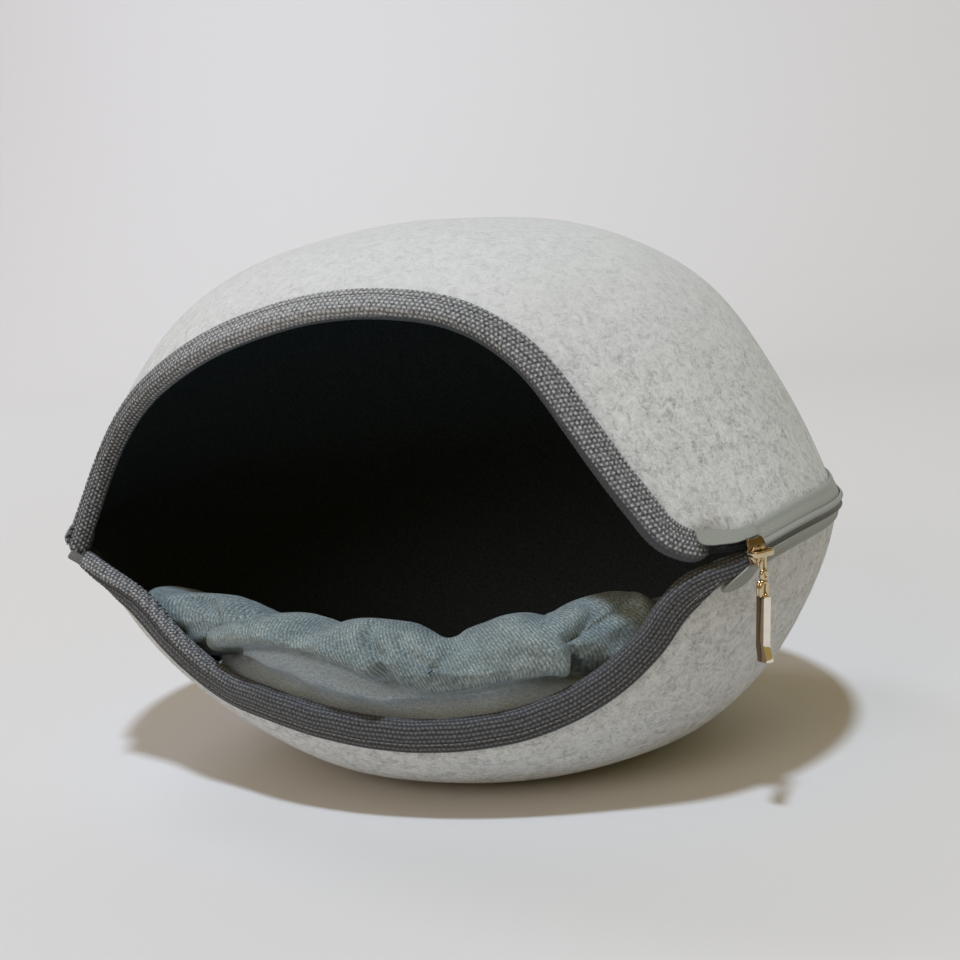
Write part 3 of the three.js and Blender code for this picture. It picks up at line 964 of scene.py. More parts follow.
@dataclass(frozen=True)
class WebbingFinish:
    """Charcoal webbing woven in rows of pale beads, plain towards the mouth, with painted light along the top
    of its arch and, where told, painted shade on a calmer front and under the flap at the slider end.
    """

    name: str = "charcoal_webbing"
    bead: Triple = (0.56, 0.58, 0.6)
    yarn: Triple = (0.15, 0.158, 0.168)
    gap: Triple = (0.018, 0.019, 0.022)
    plain: Triple = (0.062, 0.071, 0.084)
    # calm is the darker tone painted as shade on the lower binding's front, with quieter ribs
    calm: Triple = (0.066, 0.07, 0.077)
    bead_share: float = 0.52
    strand_share: float = 1.8
    strand_level: float = 0.58
    worn_share: float = 0.7
    plain_start: float = -6.2
    plain_slope: float = 0.022
    calm_to: float = -1000.0
    calm_below: float = -1000.0
    # flap_shadow_to paints the shadow under the tape flap at the slider end in the gap's dark tone; past
    # dark_end_from the far end turns to that dark tone too
    dark_end_from: float = 9000.0
    flap_shadow_to: float = -1000.0
    # painted_light_at, painted_light_spread and painted_light_share paint light as a paler band along the top
    # of the arch
    painted_light_at: float = 285.0
    painted_light_spread: float = 95.0
    painted_light_share: float = 0.0
    dim_from: float = 9000.0
    dim_share: float = 0.12

    def material(self) -> Material:
        """Builds the webbing on lengths along and across it."""
        dye = Dye(self.name)
        run = dye.along_piece()
        along, across, _ = dye.parts(run)
        swing = dye.times(dye.math("SINE", dye.times(along, WEAVE.swing_rate)), WEAVE.swing)
        rows = dye.times(dye.plus(across, swing), 1 / WEAVE.row)
        shift = dye.times(dye.math("FLOOR", rows), WEAVE.brick)
        turns = dye.math("SINE", dye.times(dye.plus(along, shift), 2 * math.pi / WEAVE.pitch))
        ridge = dye.math("ABSOLUTE", dye.math("SINE", dye.times(rows, math.pi)))
        ridge = dye.math("POWER", ridge, 1.6)
        beads = dye.times(dye.plus(dye.times(turns, 0.5), 0.5), ridge)
        strands = dye.noise(dye.scaled(run, (1.7, 0.8, 1.0), (0, 0, 35)), 1.0, 4, 0.78)
        worn = dye.times(dye.math("SUBTRACT", dye.noise(run, 0.4, 2, 0.6), 0.5), self.worn_share)
        loose = dye.math("SUBTRACT", dye.times(strands, self.strand_share), self.strand_level)
        weave = dye.plus(dye.plus(dye.times(beads, self.bead_share), loose), worn)
        # Painted light: lift lightens the weave round the top of the arch, and it darkens the weave past
        # dim_from, towards the far end.
        apart = dye.times(dye.math("SUBTRACT", along, self.painted_light_at), 1 / self.painted_light_spread)
        pale = dye.math("SUBTRACT", 1.0, dye.times(apart, apart), clamp=True)
        dim = dye.slope(along, self.dim_from, WEAVE.calm_rate)
        lift = dye.math("SUBTRACT", dye.times(pale, self.painted_light_share), dye.times(dim, self.dim_share))
        tone = dye.ramp(dye.plus(weave, lift), (0.14, self.gap), (0.45, self.yarn), (0.92, self.bead))
        # Painted shade: where calm_to and calm_below mark the front and the lower edge that face down, the
        # weave turns to the darker calm tone; its quieter ribs are the weave's look.
        low, high = (tuple(k * c for c in self.calm) for k in (0.4, 1.8))
        ribs = dye.plus(dye.times(ridge, 0.3), dye.times(weave, 0.6))
        early = dye.slope(along, self.calm_to, -WEAVE.calm_rate)
        front_shade = dye.math("MAXIMUM", early, dye.slope(across, self.calm_below, -0.5))
        tone = dye.mix("MIX", dye.times(front_shade, 0.9), tone, dye.ramp(ribs, (0.25, low), (0.75, high)))
        edge = dye.math("SUBTRACT", across, dye.times(along, self.plain_slope))
        tone = dye.mix("MIX", dye.slope(edge, self.plain_start, 0.5), tone, self.plain)
        # Painted shadow: the slider end under the flap turns dark; the far end past dark_end_from turns dark
        # as well.
        darkened_end = dye.slope(along, self.dark_end_from, 0.25)
        darkened_end = dye.math("MAXIMUM", darkened_end, dye.slope(along, self.flap_shadow_to, -0.08))
        dye.set(Base_Color=dye.mix("MIX", darkened_end, tone, self.gap))
        dye.bump(weave, 0.6, 0.0005)
        dye.set(Roughness=0.8, Sheen_Weight=0.1, Specular_IOR_Level=0.25)
        return dye.material


@dataclass(frozen=True)
class TapeFinish:
    """Pale grey-green woven zip tape."""

    light: Triple = (0.34, 0.365, 0.335)
    dark: Triple = (0.25, 0.27, 0.245)

    def material(self) -> Material:
        """Builds the tape with fine ribs along it."""
        dye = Dye("zip_tape")
        run = dye.along_piece()
        ribs = dye.wave(run, "Y", 0.34, 0.6, 2.0, 1.0)
        both = dye.blend(ribs, dye.noise(run, 1.1, 4, 0.7), 0.93)
        dye.set(Base_Color=dye.ramp(both, (0.3, self.dark), (0.7, self.light)))
        dye.bump(both, 0.25, 0.0003)
        dye.set(Roughness=0.75, Sheen_Weight=0.1, Specular_IOR_Level=0.25)
        return dye.material


@dataclass(frozen=True)
class CoilFinish:
    """Grey-green coil of the zip, with painted shade in its groove."""

    light: Triple = (0.33, 0.355, 0.33)
    dark: Triple = (0.09, 0.1, 0.092)
    pitch: float = 1.5
    groove_shade_low: float = -2.3
    groove_shade_high: float = 0.5
    half: float = 3.4

    def material(self) -> Material:
        """Builds the coil on lengths along and across it."""
        dye = Dye("zip_coil")
        along, across, _ = dye.parts(dye.along_piece())
        share = dye.times(dye.plus(across, self.half), 0.5 / self.half)
        low, high = ((at + self.half) / (2 * self.half) for at in (self.groove_shade_low, self.groove_shade_high))
        # Painted shade: the dark tone fills the groove between the two rows, where shade falls.
        groove = ((low + 0.02, self.dark), (high - 0.05, self.dark))
        tone = dye.ramp(share, (low - 0.05, self.light), *groove, (high, self.light))
        turns = dye.math("SINE", dye.times(along, 2 * math.pi / self.pitch))
        ribbed = dye.ramp(turns, (0.0, (0.86, 0.86, 0.86)), (0.5, (1, 1, 1)))
        dye.set(Base_Color=dye.mix("MULTIPLY", 1.0, tone, ribbed))
        dye.bump(turns, 0.3, 0.0003)
        dye.set(Roughness=0.5, Specular_IOR_Level=0.4)
        return dye.material


@dataclass(frozen=True)
class TwillFinish:
    """Washed blue-grey twill with fine slanting ribs and pale wear."""

    light: Triple = (0.45, 0.52, 0.523)
    mid: Triple = (0.2, 0.253, 0.264)
    dark: Triple = (0.088, 0.12, 0.132)
    washed: Triple = (1.12, 1.1, 1.08)
    unwashed: Triple = (0.64, 0.68, 0.7)
    pitch: float = 1.7
    slant: float = -24.0

    def material(self) -> Material:
        """Builds the twill on the cushion's own lengths."""
        dye = Dye("blue_grey_twill")
        run = dye.round_cushion(self.slant)
        ribs = dye.wave(run, "X", 0.314 / self.pitch, 1.2, 3.0, 2.0)
        both = dye.blend(ribs, dye.noise(dye.scaled(run, (1.0, 0.45, 1.0)), 1.2, 5, 0.78), 0.91)
        tone = dye.ramp(both, (0.35, self.dark), (0.5, self.mid), (0.65, self.light))
        wash = dye.ramp(dye.noise(run, 0.05, 4, 0.6), (0.32, self.unwashed), (0.68, self.washed))
        dye.set(Base_Color=dye.mix("MULTIPLY", 1.0, tone, wash))
        dye.bump(both, 0.45, 0.0006)
        dye.set(Roughness=0.9, Sheen_Weight=0.12, Specular_IOR_Level=0.15)
        return dye.material


@dataclass(frozen=True)
class CanvasFinish:
    """Pale plain weave of the cushion's underside."""

    light: Triple = (0.4, 0.48, 0.55)
    dark: Triple = (0.2, 0.255, 0.3)

    def material(self) -> Material:
        """Builds the plain weave on the cushion's own lengths."""
        dye = Dye("pale_canvas")
        run = dye.round_cushion()
        slubs = dye.noise(dye.scaled(run, (0.35, 1.5, 1.5)), 1.0, 4, 0.7)
        picks = dye.noise(dye.scaled(run, (1.6, 0.5, 1.5)), 1.0, 3, 0.7)
        both = dye.blend(slubs, picks, 0.45)
        dye.set(Base_Color=dye.ramp(both, (0.36, self.dark), (0.6, self.light)))
        dye.bump(both, 0.5, 0.0006)
        dye.set(Roughness=0.92, Sheen_Weight=0.15, Specular_IOR_Level=0.15)
        return dye.material


@dataclass(frozen=True)
class StageFinish:
    """Plain pale floor."""

    tone: float = 0.68

    def material(self) -> Material:
        """Builds the floor's paint."""
        dye = Dye("pale_stage")
        dye.set(Base_Color=(self.tone, self.tone, self.tone, 1), Roughness=0.9)
        return dye.material


@dataclass
class FeltCave:
    """The two felt halves with their linings."""

    columns: int = 240
    rows: int = 46
    lip_columns: int = 100
    crowding: float = 1.3
    ripple: float = 0.5
    ripple_from: float = 12.0
    lining_back: float = 0.5
    felt_cut: tuple[float, float] = (0.47, 0.47)
    lining_cut: tuple[float, float] = (0.46, 0.46)

    def layer(self, name: str, shell: Shell, outside: float, thick: float, back: float) -> Piece:
        """Makes one layer of a half's wall.

        Args:
            name: The piece's name.
            shell: The half.
            outside: Offset of the layer's outer face from the felt's outer face.
            thick: The layer's thickness.
            back: How far its edge lies from the rim's line.

        Returns:
            The closed layer.
        """
        part = self.lip_columns / self.columns

        def place(around: Array, inward: Array) -> Array:
            """Lays the layer's outer face, from its edge in to the pole."""
            share = (inward**self.crowding)[:, None]
            chart = shell.edge(around, part, back) * (1 - share) + shell.pole * share
            points = shell.point(chart)
            flat = np.clip(points[:, 2] / self.ripple_from, 0, 1)
            return points + shell.normal(chart) * (outside + self.waver(points) * flat)[:, None]

        piece = Bench.grid(name, self.columns, self.rows, place)
        Bench.merge(piece, 2e-5)
        Bench.face_out(piece, lambda centres: centres - FORM.middle * MM)
        return Bench.thicken(piece, thick, 60)

    def waver(self, points: Array) -> Array:
        """Slight unevenness of the pressed felt, in millimetres."""
        x, y, z = (points * 0.045).T
        first = np.sin(x + 0.6 * y) * np.sin(0.9 * y - z + 0.7)
        second = np.sin(1.7 * z + 0.8 * x + 1.3) * np.sin(1.3 * x - 1.1 * y)
        return self.ripple * (first + 0.6 * second)

    def build(self) -> None:
        """Builds and dresses both halves."""
        inner = -FORM.felt - FORM.gap
        felt = ("grey_felt", FeltFinish().material(), self.felt_cut, 0.0, FORM.felt, FORM.felt_back)
        lining = ("dark_lining", LINING.material(), self.lining_cut, inner, FORM.lining, self.lining_back)
        for layer, (slot, material, flat, outside, thick, back) in (("felt", felt), ("lining", lining)):
            for half, shell in (("dome", DOME), ("bowl", BOWL)):
                node = f"{half}_{layer}"
                piece = self.layer(f"{node}_cloth", shell, outside, thick, back)
                Bench.settle_in(piece, slot, material, node)


@dataclass
class MouthBinding:
    """Webbing folded over the two lips of the mouth and sewn down with a row of stitches."""

    thick: float = 1.3
    upper_leg: float = 11.0
    lower_leg: float = 12.5
    nose: float = 1.2
    ease_out: float = 0.6
    ease_edge: float = 0.45
    ease_in: float = 0.6
    right_past: float = 63.2
    left_past: float = 65.6
    end_round: float = 8.0
    end_share: float = 0.35
    tuck_from: float = 8.0
    tuck_over: float = 44.0
    tuck_share: float = 0.3
    left_tuck_from: float = 6.0
    left_tuck_over: float = 60.0
    left_from: float = 170.0
    left_full: float = 90.0
    left_end_share: float = 0.9
    left_roll: float = 1.6
    left_narrow: float = 0.08
    stations: int = 780
    across: int = 60
    puff: float = 0.6
    bead: float = 0.22
    hem: float = 1.4
    plain_from: float = 2.0
    plain_to: float = 5.0
    plain_share: float = 0.8
    calm_to: float = 400.0
    calm_share: float = 0.5
    groove: float = 0.5
    groove_half: float = 1.0
    second_groove: Swell = Swell(0.55, 2.2, 0.9)
    stitch_pitch: float = 3.6
    stitch_share: float = 0.62
    stitch_half: float = 0.34
    stitch_from: float = 24.0
    stitch_to: float = 16.0
    stitch_proud: float = 0.25
    upper_cut: tuple[float, float] = (0.036, 0.52)
    lower_cut: tuple[float, float] = (0.039, 0.47)

    @property
    def outer(self) -> float:
        """How far the webbing's outer face stands off the felt's outer face."""
        return self.ease_out + self.thick

    @property
    def inner(self) -> float:
        """How far the webbing's inner face lies behind the felt's outer face."""
        return FORM.wall + self.ease_in + self.thick

    @property
    def far(self) -> float:
        """How far the fold stands out past the lip."""
        return self.ease_edge + self.thick + self.nose

    def path(self, shell: Shell) -> tuple[Array, Array]:
        """The webbing's way along a lip and a little past both corners.

        Args:
            shell: The half whose lip it covers.

        Returns:
            Chart points and the lengths that they lie at.
        """
        back = FORM.felt_back / shell.rim_speed
        right = np.radians(np.linspace(self.right_past, FORM.corner, 12, endpoint=False))
        left = np.radians(-np.linspace(self.left_past, FORM.corner, 24, endpoint=False)[::-1])
        lip = shell.lip_at(np.linspace(0, 1, 1201))
        line = np.vstack([shell.chart(right, back + 0 * right), lip, shell.chart(left, back + 0 * left)])
        return line, lengths_along(shell.point(line))

    def bend(self) -> tuple[Array, Array]:
        """Angles round the fold and the lengths that they stand for."""
        turns = np.linspace(0, math.pi, 181)
        high = (self.outer + self.inner) / 2
        line = np.stack([high * np.cos(turns), self.far * np.sin(turns)], axis=1)
        return turns, lengths_along(line)

    def laid(self, shell: Shell, leg: float, run: Array, off: Array) -> tuple[Array, Array]:
        """Places on the folded webbing.

        Args:
            shell: The half whose lip it covers.
            leg: Width of each leg.
            run: Lengths along the lip.
            off: Lengths across the webbing from its fold, below zero outside.

        Returns:
            Points in millimetres and true lengths across.
        """
        line, lengths = self.path(shell)
        turns, arcs = self.bend()

        chart = on_line(line, lengths, run)
        ahead, behind = (shell.point(on_line(line, lengths, run + step)) for step in (3, -3))
        edge, way = shell.point(chart), shell.normal(chart)
        into = unit(np.cross(way, unit(ahead - behind))) * -shell.sign
        rest = lengths[-1] - run
        from_end = np.clip(np.minimum(run, rest) / self.end_round, 0, 1)
        narrow = np.where(run < lengths[-1] / 2, self.end_share, self.left_end_share)
        tongue = narrow + (1 - narrow) * np.sqrt(1 - (1 - from_end) ** 2)
        leftward = 1 - ease(rest, self.left_full, self.left_from)
        tucked, slim = ease(run, self.tuck_from, self.tuck_over), 1.0
        if shell.half is Half.BOWL:
            tucked = np.minimum(tucked, ease(rest, self.left_tuck_from, self.left_tuck_over))
            slim = 1 - self.left_narrow * leftward
        tucked = (self.tuck_share + (1 - self.tuck_share) * tucked) * slim
        tongue = np.where(off < 0, np.minimum(tongue, tucked), tongue)
        reach = np.clip(np.abs(off) - arcs[-1] / 2, 0, leg) * tongue
        spot = shell.settle(edge + into * reach[:, None])
        arch = np.sin(math.pi * np.clip(reach / leg, 0, 1))
        pillow = self.puff * arch
        sewn = Swell(self.groove, self.stitch_share * leg, self.groove_half).over(reach)
        sewn = sewn + self.second_groove.over(reach) * leftward
        if shell.half is Half.DOME:
            sewn = sewn - self.left_roll * leftward * arch
        offset = np.where(off < 0, self.outer + pillow - sewn, -self.inner - pillow)
        legs = shell.point(spot) + shell.normal(spot) * offset[:, None]
        turn = np.interp(off + arcs[-1] / 2, arcs, turns)
        out = (self.outer - self.inner) / 2 + (self.outer + self.inner) / 2 * np.cos(turn)
        beyond = self.far * np.sin(turn)
        fold = edge + way * out[:, None] - into * beyond[:, None]
        bent = np.abs(off) < arcs[-1] / 2
        across = np.sign(off) * (np.minimum(np.abs(off), arcs[-1] / 2) + reach)
        return np.where(bent[:, None], fold, legs), across

    def fold(self, name: str, shell: Shell, leg: float) -> Piece:
        """Lays the webbing over one lip, with its weave raised.

        Args:
            name: The piece's name.
            shell: The half whose lip it covers.
            leg: Width of each leg.

        Returns:
            The closed strip.
        """
        length, wide = self.path(shell)[1][-1], self.bend()[1][-1] + 2 * leg
        lengths: list[Array] = []

        def place(along: Array, round_it: Array) -> Array:
            """Lays the webbing's outer face and keeps its true lengths."""
            run = length * along
            points, across = self.laid(shell, leg, run, (round_it - 0.5) * wide)
            lengths[:] = [run, across]
            return points

        piece = Bench.grid(name, self.stations, self.across, place)
        run, across = lengths
        Bench.lay_uv(piece, run * MM, across * MM)
        self.turn_out(piece)
        rows = (across + WEAVE.swing * np.sin(WEAVE.swing_rate * run)) / WEAVE.row
        turns = np.sin(2 * math.pi * (run + np.floor(rows) * WEAVE.brick) / WEAVE.pitch)
        weave = (turns + 1) * np.sin(math.pi * rows) ** 2 - 0.5
        edge = 1 - ease(np.abs(across), wide / 2 - self.hem, wide / 2)
        if shell.half is Half.BOWL:
            calm = np.clip((self.calm_to - run) * WEAVE.calm_rate, 0, 1)
            edge = edge * (1 - self.calm_share * calm)
        plain = 1 - self.plain_share * ease(across, self.plain_from, self.plain_to)
        raised = self.bead * weave * plain * edge
        Bench.put(piece, Bench.points(piece) + Bench.normals(piece) * raised[:, None] * MM)
        return Bench.thicken(piece, self.thick, 70)

    def turn_out(self, piece: Piece) -> None:
        """Turns the faces of the fold away from the felt."""
        lines = Bench.points(piece).reshape(self.across + 1, self.stations + 1, 3)
        ways = lines[self.across // 2] - (lines[0] + lines[-1]) / 2
        first = self.across // 2 * self.stations
        total = 0.0
        for column in range(0, self.stations, 20):
            total += float(np.dot(piece.data.polygons[first + column].normal, ways[column]))
        if total < 0:
            Bench.edit(piece, bpy.ops.mesh.flip_normals)

    def stitch(self) -> Piece:
        """Models one stitch: a short thread that dips in at both ends."""
        Bench.clear()
        bpy.ops.mesh.primitive_uv_sphere_add(segments=6, ring_count=5, radius=1)
        seed = bpy.context.object
        x, y, z = Bench.points(seed).T
        half = self.stitch_half
        bow = half * (0.5 - 1.3 * z * z)
        Bench.put(seed, np.stack([z * 0.4 * self.stitch_pitch, y * half, x * half + bow], axis=1))
        return seed

    def stitches(self, name: str, shell: Shell, leg: float) -> Piece:
        """Sews a row of stitches along the outer leg.

        Args:
            name: The piece's name.
            shell: The half whose binding they hold.
            leg: Width of each leg.

        Returns:
            The stitches as one piece.
        """
        length, fold = self.path(shell)[1][-1], self.bend()[1][-1]
        run = np.arange(self.stitch_from, length - self.stitch_to, self.stitch_pitch)
        off = np.full_like(run, -fold / 2 - self.stitch_share * leg)

        def spot(ahead: float, aside: float) -> Array:
            """Points a little ahead of or beside the stitches."""
            return self.laid(shell, leg, run + ahead, off + aside)[0]

        spots = spot(0, 0)
        along, across = unit(spot(0.4, 0) - spot(-0.4, 0)), unit(spot(0, 0.4) - spot(0, -0.4))
        out = unit(np.cross(along, across))
        out *= np.sign(((spots - FORM.middle) * out).sum(axis=1))[:, None]
        ways = np.stack([along, np.cross(out, along), out], axis=1)
        piece = Bench.repeat(name, self.stitch(), spots + out * self.stitch_proud, ways)
        Bench.outside(piece)
        Bench.smooth(piece, 180)
        return piece

    def build(self) -> None:
        """Builds and dresses both bindings."""
        thread = THREAD.material()
        # The upper webbing gets painted light along the top of its arch and painted shadow under the flap at
        # its slider end.
        beaded = WebbingFinish(flap_shadow_to=40.0, painted_light_share=0.16, dim_from=370.0).material()
        # The lower webbing gets painted shade on its calm front and lower edge, and a dark far end.
        quiet = WebbingFinish(
            "charcoal_webbing_front",
            plain_start=5.0,
            plain_slope=0.0,
            calm_to=self.calm_to,
            calm_below=-4.5,
            dark_end_from=473.0,
        ).material()
        for side, shell, leg, flat, felt, webbing in (
            ("upper", DOME, self.upper_leg, self.upper_cut, "dome_felt_cloth", beaded),
            ("lower", BOWL, self.lower_leg, self.lower_cut, "bowl_felt_cloth", quiet),
        ):
            node = f"{side}_binding"
            strip = self.fold(f"{node}_webbing", shell, leg)
            Bench.settle_in(strip, "charcoal_webbing", webbing, node)
            sewn = self.stitches(f"{node}_stitches", shell, leg)
            Bench.settle_in(sewn, "charcoal_webbing", thread, node)


@dataclass(frozen=True)
class FlapRow:
    """A cut across a loose tape end: its azimuth, its two depths on the wall and how far each stands off."""

    azimuth: float
    low: float
    high: float
    low_off: float
    high_off: float


@dataclass
class Zip:
    """Tapes with their loose ends and the coil along the rim."""

    upper_tape: float = 6.0
    lower_tape: float = 8.5
    tape_thick: float = 1.2
    start: float = 62.6
    chain_end: float = 291.4
    tape_end: float = 292.6
    chain_half: float = 3.4
    length: float = 830.0
    flap_length: float = 36.0
    stations: int = 420
    chain_stations: int = 1700
    welt: Swell = Swell(0.9, 2.6, 4.4)
    sewn_edge: Swell = Swell(0.3, 0.82, 0.13)
    coil_row: Swell = Swell(1.05, 1.75, 0.95)
    thin_row: Swell = Swell(0.55, -2.75, 0.4)
    teeth: Swell = Swell(0.07, 1.75, 1.2)
    teeth_pitch: float = 1.5
    upper_cut: tuple[float, float] = (0.0105, 0.83)
    lower_cut: tuple[float, float] = (0.013, 0.83)
    upper_flap: tuple[FlapRow, ...] = rows_of(
        FlapRow,
        (63.8, 5.0, 10.0, 3.0, 2.0), (61.6, 5.4, 10.4, 4.6, 2.8), (59.4, 6.0, 11.6, 5.8, 4.2),
        (57.2, 7.2, 13.4, 5.8, 4.8), (55.4, 8.2, 14.8, 5.2, 4.8), (54.4, 9.4, 15.2, 4.9, 4.7),
        (53.9, 11.0, 14.6, 4.7, 4.6),
    )
    lower_flap: tuple[FlapRow, ...] = rows_of(
        FlapRow,
        (63.8, 4.5, 12.5, 2.8, 1.5), (62.2, 6.0, 17.5, 3.0, 1.5), (60.8, 8.5, 20.0, 3.0, 1.4),
        (59.2, 12.0, 20.5, 2.4, 1.3), (57.6, 16.5, 19.5, 1.8, 1.2),
    )

    @property
    def chain_seat(self) -> float:
        """How far the coil's back lies from the rim's line."""
        return 3 * FORM.gap + self.tape_thick

    def tape(self, name: str, shell: Shell, wide: float) -> Piece:
        """Lays one tape along the outside of the felt.

        Args:
            name: The piece's name.
            shell: The half that it is sewn to.
            wide: How far it reaches over the felt.

        Returns:
            The closed tape.
        """
        lengths: list[Array] = []

        def place(along: Array, across: Array) -> Array:
            """Lays the tape's outer face, with its welt and its sewn edge."""
            turn = np.radians(self.start + (self.tape_end - self.start) * along)
            reach = FORM.gap + (FORM.felt_back + wide - FORM.gap) * across
            chart = shell.chart(turn, reach / shell.rim_speed)
            soft = (1 + 0.3 * np.sin(along * 74)) * self.sewn_edge.over(across)
            tucked = 0.6 * ease(across, 0.93, 1.0)
            offset = FORM.gap + self.tape_thick + self.welt.over(reach) + soft - tucked
            lengths[:] = [along * self.length, reach]
            return shell.point(chart) + shell.normal(chart) * offset[:, None]

        piece = Bench.grid(name, self.stations, 18, place)
        return self.hem(piece, lengths)

    def flap(self, name: str, shell: Shell, rows: tuple[FlapRow, ...]) -> Piece:
        """Lays a loose tape end over the corner of the mouth.

        Args:
            name: The piece's name.
            shell: The half whose wall it lies on.
            rows: The cuts across it, from the zip to its tip.

        Returns:
            The closed flap.
        """
        table = np.array([[r.azimuth, r.low, r.high, r.low_off, r.high_off] for r in rows])
        fine = smooth_line(table, 8)
        lengths: list[Array] = []

        def place(along: Array, across: Array) -> Array:
            """Lays the flap's outer face off the wall."""
            turn, low, high, low_off, high_off = fine[np.rint(along * (len(fine) - 1)).astype(int)].T
            reach = low + (high - low) * across
            azimuth, lean = np.radians(turn), math.radians(shell.curve.lean)
            level = np.full_like(turn, shell.sign * math.sin(lean))
            flat = math.cos(lean)
            ways = np.stack([np.sin(azimuth) * flat, -np.cos(azimuth) * flat, level], axis=-1)
            offset = low_off + (high_off - low_off) * across
            lengths[:] = [along * self.flap_length, reach]
            return shell.moulded(azimuth, reach / shell.rim_speed) + ways * offset[:, None]

        piece = Bench.grid(name, len(fine) - 1, 10, place)
        return self.hem(piece, lengths)

    def hem(self, piece: Piece, lengths: list[Array]) -> Piece:
        """Gives a laid tape its weave lengths and its thickness."""
        Bench.lay_uv(piece, lengths[0] * MM, lengths[1] * MM)
        Bench.face_out(piece, lambda centres: centres - FORM.middle * MM)
        return Bench.thicken(piece, self.tape_thick, 50)

    def rim_frame(self, azimuth: Array) -> tuple[Array, Array, Array]:
        """Points of the rim's line, the ways along it and the ways out from it."""
        zero = np.zeros_like(azimuth)
        point = DOME.moulded(azimuth, zero)
        along = DOME.moulded(azimuth + 0.01, zero) - DOME.moulded(azimuth - 0.01, zero)
        along[:, 2] = 0
        along = unit(along)
        out = np.cross(along, [0.0, 0.0, 1.0])
        return point, along, out

    def frame(self, azimuth: float) -> Array:
        """A place on the rim's line with the ways along, up and out, a row each."""
        point, along, out = self.rim_frame(np.radians([azimuth]))
        return np.vstack([point, along, [[0.0, 0.0, 1.0]], out])

    def chain(self) -> Piece:
        """Makes the closed coil: a rounded row, a groove and a thin row below it."""
        lengths: list[Array] = []

        def place(along: Array, round_it: Array) -> Array:
            """Lays the coil's skin round the rim's line."""
            turn = np.radians(self.start + (self.chain_end - self.start) * along)
            point, _, out = self.rim_frame(turn)
            run = along * self.length
            angle = round_it * 2 * math.pi
            up = np.cos(angle) * self.chain_half
            ridge = self.coil_row.over(up) + self.thin_row.over(up)
            teeth = np.sin(2 * math.pi * run / self.teeth_pitch) * self.teeth.over(up)
            front = (0.5 + ridge + teeth) * np.minimum(1, np.sin(angle) * 3)
            deep = np.where(np.sin(angle) > 0, front, 0)
            lengths[:] = [run, up]
            lift = np.stack([0 * up, 0 * up, up], axis=-1)
            return point + out * (self.chain_seat + deep)[:, None] + lift

        piece = Bench.grid("zip_coil_chain", self.chain_stations, 40, place)
        Bench.lay_uv(piece, lengths[0] * MM, lengths[1] * MM)
        Bench.tube(piece, 1e-6)
        Bench.smooth(piece, 60)
        return piece

    def build(self) -> None:
        """Builds and dresses the zip."""
        cloth = TapeFinish().material()
        for side, shell, wide, rows, flat in (
            ("upper", DOME, self.upper_tape, self.upper_flap, self.upper_cut),
            ("lower", BOWL, self.lower_tape, self.lower_flap, self.lower_cut),
        ):
            node = f"{side}_zip_tape"
            piece = self.tape(f"{node}_cloth", shell, wide)
            Bench.settle_in(piece, "zip_tape", cloth, node)
            loose = self.flap(f"{node}_end", shell, rows)
            Bench.settle_in(loose, "zip_tape", cloth, node)
        Bench.settle_in(self.chain(), "zip_coil", CoilFinish().material(), "zip_chain")


@dataclass(frozen=True)
class Ring:
    """A wire bent into a long ring: half of its height, width and thickness, to the wire's middle."""

    name: str
    centre: Triple
    tall: float
    wide: float
    wire: float


